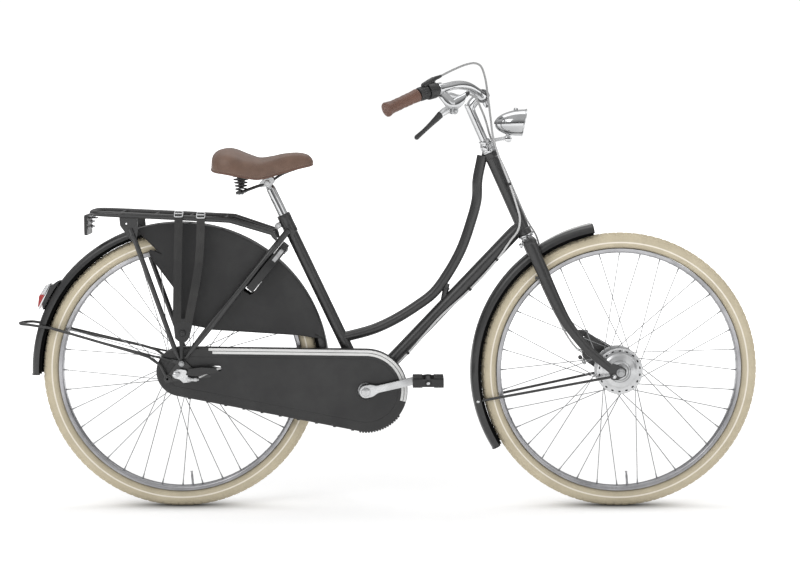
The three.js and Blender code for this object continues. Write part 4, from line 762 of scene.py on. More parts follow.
def hubShape(name):
    hub = Shape()
    if name == "front":
        hub.lathe(front, acrossBike, [
            (6, -46.5), (11.5, -46.5), (12, -46), (13, -43.5), (20.4, -42.4), (21, -41.6), (23.4, -38.6), (24.2, -38),
            (39.6, -36.8), (41, -36), (44.6, -33.2), (47, -32.2), (59.2, -31.9), (60, -31.2), (60, -28.8),
            (59.2, -28.2), (48.4, -27.9), (46.9, -26.6), (46.6, -20), (46.4, 0), (46.6, 20), (46.9, 26.6),
            (48.4, 27.9), (59.2, 28.2), (60, 28.8), (60, 31.2), (59.2, 31.8), (52, 31.8), (51.6, 31), (6, 31),
            (6, -46.5)], 128)
        # dark discs stand for the holes in the drum's flange; their darkness is painted shade
        for i in range(18):
            for drift in (-1.6, 0, 1.6):
                place = onWheel(front, math.radians(20 * i + 10 + drift), 53, 0)
                hub.lathe(place, acrossBike, [(0, -32.4), (1.7, -32.4), (2, -32.2), (2, -31), (0, -31)], 16, mark=1)
        hub.lathe(front, acrossBike, [
            (27.6, -38.3), (28.6, -38.7), (29.6, -38.3), (29.6, -36), (27.6, -36), (27.6, -38.3)], 96)
    else:
        hub.lathe(rear, acrossBike, [
            (6, -33.8), (18.6, -33.8), (20, -33.2), (23.2, -29.4), (24.4, -28.6), (32.2, -28.4), (33, -27.8),
            (33, -26.2), (32.2, -25.6), (25, -25.2), (23.9, -24), (23.4, -16), (23.2, 0), (23.4, 16), (23.9, 24),
            (25, 25.2), (32.2, 25.6), (33, 26.2), (33, 28), (31.6, 30.4), (28, 38), (26, 39.6), (6, 39.8),
            (6, -33.8)], 96)
    made = wheelSet[name]
    for hand in (-1, 1):            # spoke heads outside the flanges
        for i in range(18):
            lead = 1 if i % 2 else -1
            turn = i * flangeStep + (flangeStep / 2 if hand > 0 else 0)
            at = onWheel(made["axle"], turn, made["hole"])
            out = hand * (made["flangeY"] - lead * 1.9)
            hub.cross(at, out - 0.7, out + 0.7, 1.9, 8)
    return hub


for name, made in wheelSet.items():
    axle, body = made["axle"], made["body"]
    profile = tyreSection()
    profile += [(317.9, 10.5), (317.9, -10.5), profile[0]]
    tyre = Shape().lathe(axle, acrossBike, profile, tyreSet["turns"])
    addPiece(tyre, f"{name}Tyre", creamRubber, body, [f"{name}_tyre"], sharp=60)
    row = helperObject(treadRow(), "treadRow")
    centre = inMetres(axle)
    grown(roundTree, f"{name}Tread", {
        "Piece": row, "Count": tyreSet["treadCount"], "First turn": 0.0, "Step": 2 * math.pi / tyreSet["treadCount"],
        "Axle": centre}, creamRubber, body, [row])
    s = rimSet
    rim = Shape().lathe(axle, acrossBike, [
        (s["flange"], s["half"] - 0.5), (s["flange"] - 0.4, s["half"]), (311, s["half"] - 0.3),
        (309.2, s["half"] - 0.6), (306.6, 11.6), (305.6, 9.2), (s["inner"], 8), (s["inner"] - 0.2, 4),
        (s["inner"] - 0.2, -4), (s["inner"], -8), (305.6, -9.2), (306.6, -11.6), (309.2, 0.6 - s["half"]),
        (311, 0.3 - s["half"]), (s["flange"] - 0.4, -s["half"]), (s["flange"], 0.5 - s["half"]),
        (s["flange"] - 0.6, -12.8), (311.2, -12.4), (310.6, -9), (310.2, 0), (310.6, 9), (311.2, 12.4),
        (s["flange"] - 0.6, 12.8), (s["flange"], s["half"] - 0.5)], 180)
    down = -math.pi / 2 + math.pi / 36      # the valve
    inward = (axle - onWheel(axle, down, 300)).normalized()
    rim.lathe(onWheel(axle, down, 309), inward, [
        (0, 0), (4.6, 0), (4.6, 3.8), (3, 4.4), (3, 29), (2.5, 30), (2.5, 38), (3.4, 38.4), (3.4, 39.8), (0, 40)], 24)
    for i in range(36):
        eye = onWheel(axle, (i + 0.5) * math.pi / 18, 305.4)
        rim.lathe(eye, (axle - eye).normalized(), [(0, -1), (3, -1), (3, 0.5), (2.5, 0.9), (0, 0.9)], 8)
    addPiece(rim, f"{name}Rim", rimAlloy, body, [f"{name}_rim"])
    addPiece(hubShape(name), f"{name}Hub", [alloy, darkPlastic], body, [f"{name}_hub_spokes"])
    for hand in (-1, 1):
        for lead in (-1, 1):
            # one spoke with its elbow and nipple at the axle, then nine round the flange
            origin = Vector((0, 0, 0))
            root = onWheel(origin, 0, made["hole"], hand * (made["flangeY"] + lead * spokeSet["headOffset"]))
            end = onWheel(origin, lead * made["crossing"] * flangeStep, spokeSet["rimReach"],
                          hand * spokeSet["splay"])
            run = (end - root).normalized()
            spoke = Shape().tube(
                [root - acrossBike * hand * lead * 1.4, root + run * 1.6, end - run * 6], spokeSet["radius"], 8)
            n, r = spokeSet["nippleLength"], spokeSet["nipple"]
            spoke.lathe(end - run * n, run, [
                (0, 0), (1.3, 0), (1.6, 1), (1.7, n - 5), (r, n - 4.4), (r, n + 0.6), (0, n + 0.6)], 8)
            helper = helperObject(spoke, "oneSpoke")
            turn = (flangeStep if lead > 0 else 0) + (flangeStep / 2 if hand > 0 else 0)
            side = "Near" if hand < 0 else "Far"
            kind = "Leading" if lead > 0 else "Trailing"
            grown(roundTree, f"{name}{side}{kind}Spokes", {
                "Piece": helper, "Count": 9, "First turn": -turn, "Step": -2 * flangeStep, "Axle": centre},
                spokeSteel, body, [helper])
print("wheels made")


# frame tubes
tubeSet = {"down": 18, "top": 13.5, "bridge": 8, "sides": 40}
topTubeLine = [(780.5, 914), (777, 896), (768.5, 850), (766.5, 800), (751, 740), (727, 672), (694, 611), (656, 559),
               (612, 525), (556, 490), (499.6, 464), (434.6, 446), (412, 441)]
headTube = Shape().lathe(onSteer(423), steerUp, [
    (14.2, 0), (17.2, 0), (18, 0.8), (18, 12.6), (17.2, 14), (16.1, 15), (16, 17), (16, 212), (16.1, 214),
    (17.2, 215), (18, 216.4), (18, 228.2), (17.2, 229), (14.2, 229), (14.2, 0)], 64)
addPiece(headTube, "headTube", enamelBlack, "frame", ["head_tube"])
cup = [(13.4, 0), (18.6, 0), (20.2, 1.0), (20.5, 2.2), (20.5, 4), (19.4, 5.2), (18.4, 6), (18.2, 8.7), (13.4, 8.7),
       (13.4, 0)]
addPiece(Shape().lathe(onSteer(422.7), -steerUp, [(r, a * 1.06) for r, a in cup], 64), "lowerHeadCup", chrome,
         "frame", ["headset_lower"])
addPiece(Shape().lathe(onSteer(652.3), steerUp, cup, 64), "upperHeadCup", chrome, "frame", ["headset_upper"])
downEnd = onSteer(448)
downRun = (downEnd - bracket).normalized()
downPath = [bracket + downRun * 12] + [bracket + (downEnd - bracket) * s for s in (0.25, 0.5, 0.75, 0.93, 0.965, 1.0)]
downTube = Shape().tube(downPath, [tubeSet["down"]] * 5 + [17.6, 13.5], tubeSet["sides"])
addPiece(downTube, "downTube", enamelBlack, "frame", ["down_tube"])
topTube = Shape().tube(smoothPath([(x, 0, z) for x, z in topTubeLine], 110), tubeSet["top"], tubeSet["sides"])
bridgeTop, bridgeFoot = Vector((690, 0, 583)), bracket + downRun * 286
bridgeRun = (bridgeFoot - bridgeTop).normalized()
topTube.rod(bridgeTop, bridgeFoot, tubeSet["bridge"], 32)
topTube.lathe(bridgeTop + bridgeRun * 11, bridgeRun, [(0, 0), (9.6, 0), (10.4, 1.5), (8.2, 6), (0, 6)], 32)
addPiece(topTube, "swanNeckTube", enamelBlack, "frame", ["top_tube"])
seatTube = Shape().lathe(onSeat(0), seatUp, [
    (13, 16), (15, 16), (15, 440), (15.3, 446), (17, 448), (17.5, 449), (17.5, 462), (17.2, 464), (17.2, 486),
    (17.5, 488), (17.5, 498.6), (16.8, 500), (13, 500), (13, 16)], 56)
earAt = onSeat(479, -24)
seatTube.cross(earAt, -9, 9, 8, 32)
seatTube.rod(earAt, onSeat(479, -14), 7.4, 24)
addPiece(seatTube, "seatTube", enamelBlack, "frame", ["seat_tube"])
seatBolt = Shape().cross(earAt, -9.3, 9.3, 3.5, 20)
for hand, radius in ((-1, 6.8), (1, 6.2)):
    hexBolt(seatBolt, (earAt.x, hand * 9.4, earAt.z), (0, hand, 0), radius, 5.2)
addPiece(seatBolt, "seatClampBolt", alloy, "frame", ["seat_clamp_bolt"])
shell = Shape().lathe(bracket, acrossBike, [
    (9.4, -34), (18.6, -34), (19.4, -33.2), (21, -32.6), (21, 32.6), (19.4, 33.2), (18.6, 34), (9.4, 34), (9.4, -34)],
                      64)
shell.lathe(bracket, acrossBike, [(9.6, 33.4), (18, 33.4), (18, 35.4), (17, 36), (9.6, 36), (9.6, 33.4)], 12, mark=1)
addPiece(shell, "bracketShell", [enamelBlack, zinc], "frame", ["bottom_bracket_shell"], sharp=32)

dropoutLine = [(76, 348), (76, 362), (40, 366), (19, 388), (16, 393), (3, 393), (-4, 384), (-24, 358), (-37, 350),
               (-37, 337), (-26, 334), (-8, 338), (18, 338)]
chainStays = Shape()


def chainStaySide():
    line = [(472, -26, 313), (421, -36, 319), (110, -52.8, 347), (56, -62.4, 354)]
    chainStays.sweep(smoothPath(line, 48), ovalRings([(11, 7), (11, 7), (9, 6), (7, 3.6)], 48, 32))
    chainStays.plate(roundedOutline(dropoutLine, 6), -69, -64, [ringOf(rear.x, rear.z, 5.3), ringOf(9, 384, 3.4, 20)])
    chainStays.cross(standPin, -78.4, -64, 3, 20)
    chainStays.lathe((standPin[0], -75.8, standPin[2]), (0, -1, 0), [
        (0, 0), (6.5, 0), (6.5, 1.4), (4.6, 2.6), (0, 2.6)], 24)


chainStays.both(chainStaySide)
chainStays.cross((403, 0, 322), -33, 33, 6, 24)
addPiece(chainStays, "chainStays", [enamelBlack, zinc], "frame", ["chain_stays"])
seatStays = Shape()


def seatStaySide():
    line = [(280, -18, 721), (258, -36, 694), (244, -46, 677), (84, -62, 481), (44, -66.6, 431), (30, -66.8, 414),
            (18, -66.6, 398)]
    sizes = [(8, 8), (8, 8), (8, 8), (8, 8), (8, 4.4), (8, 4.4), (5, 2.3)]
    seatStays.sweep(smoothPath(line, 70), ovalRings(sizes, 70, 28))


seatStays.both(seatStaySide)
seatStays.cross((243, 0, 676), -44, 44, 6, 24)
addPiece(seatStays, "seatStays", enamelBlack, "frame", ["seat_stays"])

# fork
forkTip = [(1103, 372), (1112, 340), (1128, 338), (1150, 350), (1152, 366), (1140, 374), (1116, 382)]
bladeLine = [(398, 0, 42), (305, -1, 47), (230, -1, 51), (175, 2, 53.5), (100, 20, 54), (68, 33, 54), (15, 59, 54)]
bladeSizes = [(17, 11), (16, 10.6), (15, 10), (14.2, 9), (13, 8), (12, 7), (10.4, 4.6)]
fork = Shape()


def forkSide():
    path = smoothPath([onSteer(a, f, -s) for a, f, s in bladeLine], 64)
    fork.sweep(path, ovalRings(bladeSizes, 64, 32))
    fork.plate(roundedOutline(forkTip, 6), -58.5, -51.5, [ringOf(front.x, front.z, 5.3)])
    fork.lathe(onSteer(401, 0, -43), -acrossBike, [(0, 2), (11.6, 2), (12.2, 7.4), (10.6, 9), (6, 9.8), (0, 10)], 32,
               mark=1)


fork.both(forkSide)
fork.box((11, 5, 8), (921, -47, 602))
rows = []
for share, size in through([(-1, 0.6), (-0.93, 0.84), (-0.8, 0.96), (0, 1), (0.8, 0.96), (0.93, 0.84), (1, 0.6)], 42):
    centre = onSteer(400, 0, share * 51)
    rows.append([centre + steerOut * a + steerUp * b for a, b in ovalRing(19 * size, 13 * size, 36)])
fork.skin(rows)
fork.plate(roundedOutline(oblong(18, 8, 1044, 448), 4), 40.4, 52.4)
fork.rod(onSteer(402), onSteer(672), 12.9, 32, mark=2)
fork.rod(onSteer(400, -16), onSteer(400, -27), 3, 16, mark=2)
hexBolt(fork, onSteer(400, -20), -steerOut, 6, 6, mark=2)
addPiece(fork, "fork", [enamelBlack, enamelBlack, chrome], "steering", ["fork"])
nut = Shape().lathe(onSteer(11), steerUp, [
    (13.2, 651), (16.8, 651), (17.5, 651.8), (17.5, 662), (16.8, 663.3), (14.4, 663.5), (14.2, 664), (14.2, 667.3),
    (15, 667.6), (15.2, 669), (15.2, 675), (14.4, 676.6), (13.2, 677), (13.2, 651)], 64)
for a, b in ovalRing(17.4, 17.4, 12):
    nut.rod(onSteer(664, a, b), onSteer(672, a, b), 0.9, 8)
addPiece(nut, "headsetNut", chrome, "steering", ["headset_nut"])
print("frame and fork made")

# stem, bar and grips
barHalf = [(534.9, -290, 1032.7), (573.8, -265, 1050.8), (612.7, -240, 1068.9), (648, -214, 1080), (680, -188, 1087),
           (712, -150, 1093.5), (738, -112, 1090.5), (760, -72, 1079), (776, -38, 1068.3), (779.3, -18, 1066.8)]
barSteps = 160
barPath = smoothPath(barHalf + otherSide(barHalf), barSteps)
barLength = sum((b - a).length for a, b in zip(barPath, barPath[1:]))


def onBar(reach):
    s = reach / barLength * barSteps
    i = min(int(s), barSteps - 1)
    return barPath[i].lerp(barPath[i + 1], s - i)


barTube = Shape().tube(barPath, 11.1, 40)
addPiece(barTube, "handlebar", chrome, "steering", ["handlebar"])
clampAt = Vector((barPath[barSteps // 2].x, 0, barPath[barSteps // 2].z))
stem = Shape().rod(onSteer(600), onSteer(786), 11, 40)
neck = [(764, 0, 0), (780, 6, 0), (791, 26, 0), (793, 42, 0)]
stem.sweep(smoothPath([onSteer(a, f, s) for a, f, s in neck], 28),
           ovalRings([(10, 9), (13, 11), (13, 12), (13, 15)], 28, 36))
stem.lathe(clampAt, acrossBike, [
    (11.3, -20), (16.8, -20), (17.8, -19.2), (18, -18), (18, 18), (17.8, 19.2), (16.8, 20), (11.3, 20), (11.3, -20)],
           56)
stem.rod(clampAt - steerUp * 12, clampAt - steerUp * 26, 7.6, 28)
hexBolt(stem, clampAt - steerUp * 25, -steerUp, 5.6, 6.4)
stem.lathe(onSteer(783, -1), steerUp, [(0, 0), (9.4, 0), (9.8, 4), (8.6, 7.2), (6.4, 8.4), (0, 8.8)], 32)
addPiece(stem, "stem", chrome, "steering", ["stem"])

gripSet = {"length": 98, "farLength": 136, "ribPitch": 5.2, "ribRise": 0.35, "cuts": 4}
gripProfile = [(0, -3), (10, -3), (14, -2.2), (17.4, -0.6), (18.4, 2), (18.2, 5), (17, 8.4), (15.7, 12.5), (15.1, 20),
               (15.3, 34), (15.0, 50), (15.5, 66), (15.3, 80), (16.2, 91), (16.6, 95), (16.2, 97.4), (14.6, 98),
               (11.3, 98)]
barEnd, barHeading = barPath[0], (barPath[1] - barPath[0]).normalized()


def gripShape(length, flip=False):
    g, line, rings = gripSet, [], []
    stretch = length / g["length"]
    for (r0, a0), (r1, a1) in zip(gripProfile, gripProfile[1:]):
        line += [(r0 + (r1 - r0) * k / g["cuts"], a0 + (a1 - a0) * k / g["cuts"]) for k in range(g["cuts"])]
    for r, a in line + gripProfile[-1:]:
        rib = g["ribRise"] * math.sin(a * 2 * math.pi / g["ribPitch"]) if 15 < a < 90 else 0
        rings.append((r + rib, a if a < 6 else a * stretch))
    shape = Shape().lathe(barEnd, barHeading, rings + [(0, length)], 56)
    if flip:
        shape.points = [Vector((p.x, -p.y, p.z)) for p in shape.points]
    return shape


addPiece(gripShape(gripSet["length"]), "nearGrip", gripHide, "steering", ["grip_right"])
addPiece(gripShape(gripSet["farLength"], True), "farGrip", gripHide, "steering", ["grip_left"])

# gear shifter: a ribbed sleeve that turns, and a fixed body with its cable box
shiftSet = {"from": 100.5, "to": 126.5, "ribs": 22, "boxAt": 140, "boxRise": 21, "boxTilt": 0.25}
gearExit, gearOnward = Vector((664, -206, 1113)), Vector((700, -178, 1131))     # where the gear cable leaves the box
twistFrom, twistTo = onBar(shiftSet["from"]), onBar(shiftSet["to"])
twistRun = (twistTo - twistFrom).normalized()
twistUp = (Vector((0, 0, 1)) - twistRun * twistRun.z).normalized()
twistSide = twistRun.cross(twistUp)
twistLength = (twistTo - twistFrom).length
twist = Shape().lathe(twistFrom, twistRun, [
    (11.9, 0), (15.4, 0), (16.4, 0.8), (16.6, 2.4), (16.2, twistLength - 2), (16.2, twistLength), (11.9, twistLength),
    (11.9, 0)], 48)
for t in turnsRound(shiftSet["ribs"]):
    base = twistFrom + (twistUp * math.cos(t) + twistSide * math.sin(t)) * 16.1
    twist.tube([base + twistRun * s for s in (2.4, 4, twistLength - 4, twistLength - 2.6)], [0.6, 1.25, 1.25, 0.6], 8)
addPiece(twist, "shifterSleeve", darkPlastic, "gear_twist", ["shifter_twist"])
bodyFrom, bodyTo = onBar(128.5), onBar(157)
bodyRun = (bodyTo - bodyFrom).normalized()
bodyLength = (bodyTo - bodyFrom).length
shifter = Shape().lathe(bodyFrom, bodyRun, [
    (11.3, 0), (19, 0), (20.2, 1), (20.5, 2.4), (20.5, bodyLength - 8), (19, bodyLength - 3), (16, bodyLength),
    (11.3, bodyLength), (11.3, 0)], 48)
boxHead = (onBar(shiftSet["boxAt"] + 2) - onBar(shiftSet["boxAt"] - 2)).normalized()
boxUp = (Vector((0, 0, 1)) - barHeading * barHeading.z).normalized()
boxMid = onBar(shiftSet["boxAt"]) + boxUp * shiftSet["boxRise"]
boxHead = (boxHead + boxUp * shiftSet["boxTilt"]).normalized()
boxPath = [boxMid + boxHead * s for s in (-20, -19, -16, 0, 17, 21, 24)]
shifter.sweep(boxPath, [ovalRing(7.5 * k, 9 * k, 32) for k in (0.6, 0.86, 1, 1, 0.94, 0.74, 0.5)])
bootRun = (gearOnward - gearExit).normalized()
bootPath = smoothPath([boxMid + boxHead * 17, boxMid + boxHead * 25, gearExit, gearExit + bootRun * 7], 12)
shifter.tube(bootPath, [5.9 - 0.2 * i for i in range(13)], 20)
addPiece(shifter, "shifterBody", darkPlastic, "steering", ["shifter_body"])

# brake lever
pinAxis = Vector((-0.545, 0.838, 0.014)).normalized()
pivot = Vector((700, -200.5, 1031))
leverBody = Shape()
clampFrom, clampTo = onBar(160), onBar(173)
leverBody.lathe(clampFrom, clampTo - clampFrom, [
    (11.3, 0), (14.6, 0), (15.5, 0.8), (15.5, 12), (14.6, 12.8), (11.3, 12.8), (11.3, 0)], 40)
bodyLine = [(662, -197, 1078), (680, -201, 1062), (697, -202, 1045), (714, -189, 1053), (731, -172, 1069)]
leverBody.sweep(smoothPath(bodyLine, 40), ovalRings([(9, 9), (13, 10), (14, 9), (13, 9), (6, 6)], 40, 24), pinAxis)
leverBody.sweep(smoothPath([(670, -198, 1069), (686, -193, 1065), (702, -187, 1061), (718, -180, 1064)], 20),
                ovalRings([(6, 6), (12, 7), (12, 7), (6, 6)], 20, 24), pinAxis)
for hand in (-1, 1):
    leverBody.rod(pivot + pinAxis * hand * 4.4, pivot + pinAxis * hand * 8, 9.6, 28)
    hexBolt(leverBody, pivot + pinAxis * hand * 8, pinAxis * hand, 3.6, 3)
leverBody.rod(pivot - pinAxis * 8.5, pivot + pinAxis * 8.5, 2.8, 16)
leverBody.lathe((729, -174, 1067), (6, 6, 5), [
    (0, -2), (5.8, -2), (6.4, 1), (5.6, 12), (3.8, 16), (2.4, 18), (0, 18)], 20, mark=1)
addPiece(leverBody, "brakeLeverBody", [chrome, darkPlastic], "steering", ["brake_lever_body"])
leverLine = [(703, -198.5, 1034), (692, -206, 1035), (674, -218, 1026), (655, -230, 1008), (632, -244, 986),
             (606, -260, 963)]
bladePath = smoothPath(leverLine, 60)
bladeSize = through([(9.4, 3.4), (9.6, 3.6), (7.6, 4), (5.4, 4.2), (4.6, 4.4), (5.4, 4.6)], 60)
blade = Shape().rod(pivot - pinAxis * 3.6, pivot + pinAxis * 3.6, 7, 28)
blade.sweep(bladePath[:26], [ovalRing(a, b, 24) for a, b in bladeSize[:26]], pinAxis)
sleeve = bladePath[19:]
sizes = [(a + 1.0, b + 1.0) for a, b in bladeSize[19:]]
sizes[0] = (sizes[0][0] * 0.86, sizes[0][1] * 0.86)
sizes[-1] = (sizes[-1][0] * 0.55, sizes[-1][1] * 0.55)
sizes[-2] = (sizes[-2][0] * 0.86, sizes[-2][1] * 0.86)
blade.sweep(sleeve, [ovalRing(a, b, 24) for a, b in sizes], pinAxis, mark=1)
addPiece(blade, "brakeLeverBlade", [alloy, darkPlastic], "brake_hand_lever", ["brake_lever"])

# headlamp
lampSet = {"base": (811, 0, 998), "lean": 0.18}
lampBase = Vector(lampSet["base"])


def leaning(shape):
    shape.points = [Vector((p.x + (p.z - lampBase.z) * lampSet["lean"], p.y, p.z)) for p in shape.points]
    return shape


lampOuter = through([(3, 0), (8, 2), (16, 8), (24, 20), (30.5, 38), (33.6, 56), (34.5, 74)], 60)
lamp = Shape().lathe(lampBase, (1, 0, 0), [(0, -0.4)] + lampOuter + [
    (35.4, 74.6), (36, 75.8), (35.6, 77.4), (34.2, 78), (32.6, 77.4), (32.4, 74)] + [
    (r - 2, a) for r, a in reversed(lampOuter[20:])] + [(0, 14)], 72)
leaning(lamp)
lamp.lathe(onSteer(674.9), steerUp, [(14.6, 0), (17, 0), (17, 3.1), (14.6, 3.1), (14.6, 0)], 40)
knobAt = Vector((847, 0, 957))
strapPath = bentPath([onSteer(676.4, 15.8), knobAt, Vector((851, 0, 979))], 12, 8)
band = [(-1.3, -8), (-7.4, -8), (-7.4, -9.2), (1.3, -9.2), (1.3, 9.2), (-7.4, 9.2), (-7.4, 8), (-1.3, 8)]
lamp.sweep(strapPath, [band] * len(strapPath), acrossBike, mark=1)
lamp.cross(knobAt, -12, 12, 4, 20)
for hand in (-1, 1):
    lamp.lathe(knobAt + acrossBike * hand * 8.2, (0, hand, 0), [
        (0, 0), (8.5, 0), (8.9, 0.8), (8.9, 3.6), (7.4, 4.6), (0, 5)], 10)
lamp.lathe((866, 0, 1030), (0.1, 0, 1), [(0, -4), (5.4, -4), (5.4, 4), (4.6, 6), (0, 6.4)], 28)
addPiece(lamp, "headlampBody", [chrome, alloy], "steering", ["headlamp_body"])
lens = leaning(Shape().lathe(lampBase, (1, 0, 0), [
    (0, 71.4), (31.2, 71.4), (32.2, 72.4), (32.2, 74.6), (26, 76.6), (14, 77.6), (0, 78)], 72))
addPiece(lens, "headlampLens", clearPlastic, "steering", ["headlamp_lens"])
bowl = leaning(Shape().lathe(lampBase, (1, 0, 0), [
    (4, 26), (12, 29), (20, 39), (26, 52), (30, 70.6), (29, 70.6), (25, 53), (19, 41), (11.5, 31), (4, 28), (4, 26)],
                             56))
bowl.lathe(lampBase, (1, 0, 0), [(0, 25), (4, 25), (4, 44), (5.4, 48), (5.2, 52), (3, 55.4), (0, 56)], 24)
addPiece(bowl, "lampReflector", chrome, "steering", ())
print("cockpit made")

# mudguards
guardSet = {"lip": 364.5, "rise": 22, "half": 28.4, "wall": 1.3, "bead": 1.5, "step": math.radians(1.6),
            "fold": 358.6}


def guardShape(axle, low, high):
    g = guardSet
    outer = []
    for i in range(17):
        t = math.pi * i / 16
        outer.append((g["lip"] + g["rise"] * math.sin(t) ** 0.62, -g["half"] * math.copysign(
            abs(math.cos(t)) ** 0.7, math.cos(t))))
    inner = [(r - g["wall"] * (r - g["lip"]) / g["rise"], y * (1 - g["wall"] / g["half"]))
             for r, y in reversed(outer)]
    steps = round((high - low) / g["step"])
    turns = [low + (high - low) * i / steps for i in range(steps + 1)]
    foldTurns = [low + (high - low) * (i + 0.2) / (steps + 0.4) for i in range(steps + 1)]
    shape = Shape().skin([[onWheel(axle, turn, r, y) for r, y in outer + inner] for turn in turns])
    for hand in (-1, 1):
        rim = [onWheel(axle, turn, g["lip"] + 0.4, hand * (g["half"] - 0.4)) for turn in turns]
        # the bead and the inner fold take the second finish, near black: painted shade; the fold is the guard's inner
        # lip
        shape.tube(rim, g["bead"], 10, mark=1)
        fold = [(g["fold"], hand * 25.8), (g["lip"] + 7, hand * 25.8), (g["lip"] + 7, hand * 26.8),
                (g["fold"], hand * 26.8)]
        shape.skin([[onWheel(axle, turn, r, y) for r, y in fold] for turn in foldTurns], mark=1)
    for turn in (low, high):
        shape.tube([onWheel(axle, turn, r, y) for r, y in outer], 1.5, 10)
    return shape


def wireStay(axle, line, turn):
    half = [Vector(p) for p in line] + [onWheel(axle, turn, r, y) for r, y in (
        (350, -27.4), (366, -24.6), (372, -24.2), (379, -10))]
    return smoothPath(half + otherSide(half), 130)


rearGuard = guardShape(rear, math.radians(-17), math.radians(181.5))
addPiece(rearGuard, "rearMudguard", [guardBlack, guardShadeBlack], "frame", ["rear_mudguard"],
         sharp=45)
frontGuard = guardShape(front, math.radians(100.8), math.radians(212.3))
crest, crestSteps = [], 40
for i in range(crestSteps + 1):     # a bright strip along the crown in front of the fork
    turn = math.radians(101.2 + 25 * i / crestSteps)
    rise = 1.2 + 4.4 * (1 - i / crestSteps) ** 0.8
    crest.append([onWheel(front, turn, 385.4 + a * rise, b * 6) for a, b in (
        (0, -1), (0.7, -0.9), (1, -0.4), (1, 0.4), (0.7, 0.9), (0, 1))])
frontGuard.skin(crest, mark=2)
addPiece(frontGuard, "frontMudguard", [guardBlack, guardShadeBlack, paleTrim], "steering", ["front_mudguard"],
         sharp=45)
rearWire = Shape().tube(wireStay(
    rear, [(-14, -70.55, 390), (-30, -70.2, 394), (-60, -66.4, 401)], math.radians(161.6)), 2.8, 14)
tongue = [(13, 380), (13, 389), (-18, 395), (-21, 388), (3, 380)]
rearWire.both(lambda: rearWire.plate(roundedOutline(tongue, 2), -71.8, -69.3))
addPiece(rearWire, "rearGuardStay", guardBlack, "frame", ["rear_guard_stays"])
frontWire = Shape().tube(wireStay(front, [(1118, -61.6, 348.4)], math.radians(192.4)), 3.5, 14)


def stayEye():
    frontWire.plate(ringOf(1120, 348, 7, 28), -63, -58.9)
    hexBolt(frontWire, (1120, -63, 348), (0, -1, 0), 4.2, 4.4, mark=1)
    at = onWheel(front, math.radians(192.4), 374)
    frontWire.lathe((at.x, -24.6, at.z), (0, -1, 0), [(0, 0), (4.6, 0), (4.6, 3), (3.4, 4.6), (0, 5)], 20, mark=1)


frontWire.both(stayEye)
addPiece(frontWire, "frontGuardStay", [guardBlack, chrome], "steering", ["front_guard_stays"])

# rear stand
standLine = [(-32, -73.1, 351.2), (-46, -73.4, 380), (-76, -73.4, 401), (-110, -72, 412), (-330, -38, 471),
             (-392, -36, 480), (-412, -26, 480), (-418.4, 0, 480)]
halfStand = bentPath(standLine, 22, 8)
stand = Shape().tube(halfStand + otherSide(halfStand[:-1]), 3.6, 24)
stand.both(lambda: stand.plate(ringOf(*standPin[::2], 10, 40), -75.4, -69.4, [ringOf(*standPin[::2], 3.8, 20)]))
addPiece(stand, "rearStand", guardBlack, "stand", ["rear_stand"])
print("guards and stand made")

# carrier with its straps
carrierSet = {"radius": 7.4, "bend": 34, "rung": 3.5, "stay": 6.5, "band": 10.5, "bandThick": 2.2}
carrierLine = [(-221, 0, 769.5), (-219, -48, 769.5), (-205, -68, 769), (-140, -77, 766), (0, -77, 759.5),
               (136, -77, 752.5), (242, -52, 719)]
loop = bentPath(otherSide(carrierLine[1:]) + carrierLine, carrierSet["bend"], 7)
carrier = Shape().tube(loop, carrierSet["radius"], 28)
for x, z in ((-150, 766.8), (-62, 762.4), (28, 758), (118, 753.2)):
    carrier.cross((x, 0, z), -75, 75, carrierSet["rung"], 20)


def carrierSide():
    carrier.tube([Vector((242, -52, 719)), Vector((247, -49, 709)), Vector((252, -46, 699))],
                 [carrierSet["radius"], 6.4, 3], 24)
    path = bentPath([(-118, -75.5, 730), (-106, -75.5, 700), (-16, -77, 444), (-5, -77.9, 414)], 30, 7)
    carrier.tube(path + [Vector((1, -77.9, 401)), Vector((7, -77.9, 388.5))],
                 [carrierSet["stay"]] * len(path) + [4.6, 1.9], 24)
    carrier.plate(ringOf(9, 384, 8, 36), -79.4, -76.4)
    carrier.cross((9, 0, 384), -84, -62.8, 3, 16, mark=1)
    hexBolt(carrier, (9, -79.5, 384), (0, -1, 0), 5.8, 6, mark=1)
    plate = [(-146, 763), (-101, 761), (-98, 728), (-102, 704), (-116, 700), (-144, 738)]
    carrier.plate(roundedOutline(plate, 7), -76, -73, [ringOf(-128, 743, 2.2, 20)])
    hexBolt(carrier, (-110, -80.6, 712), (0, -1, 0), 4, 4)


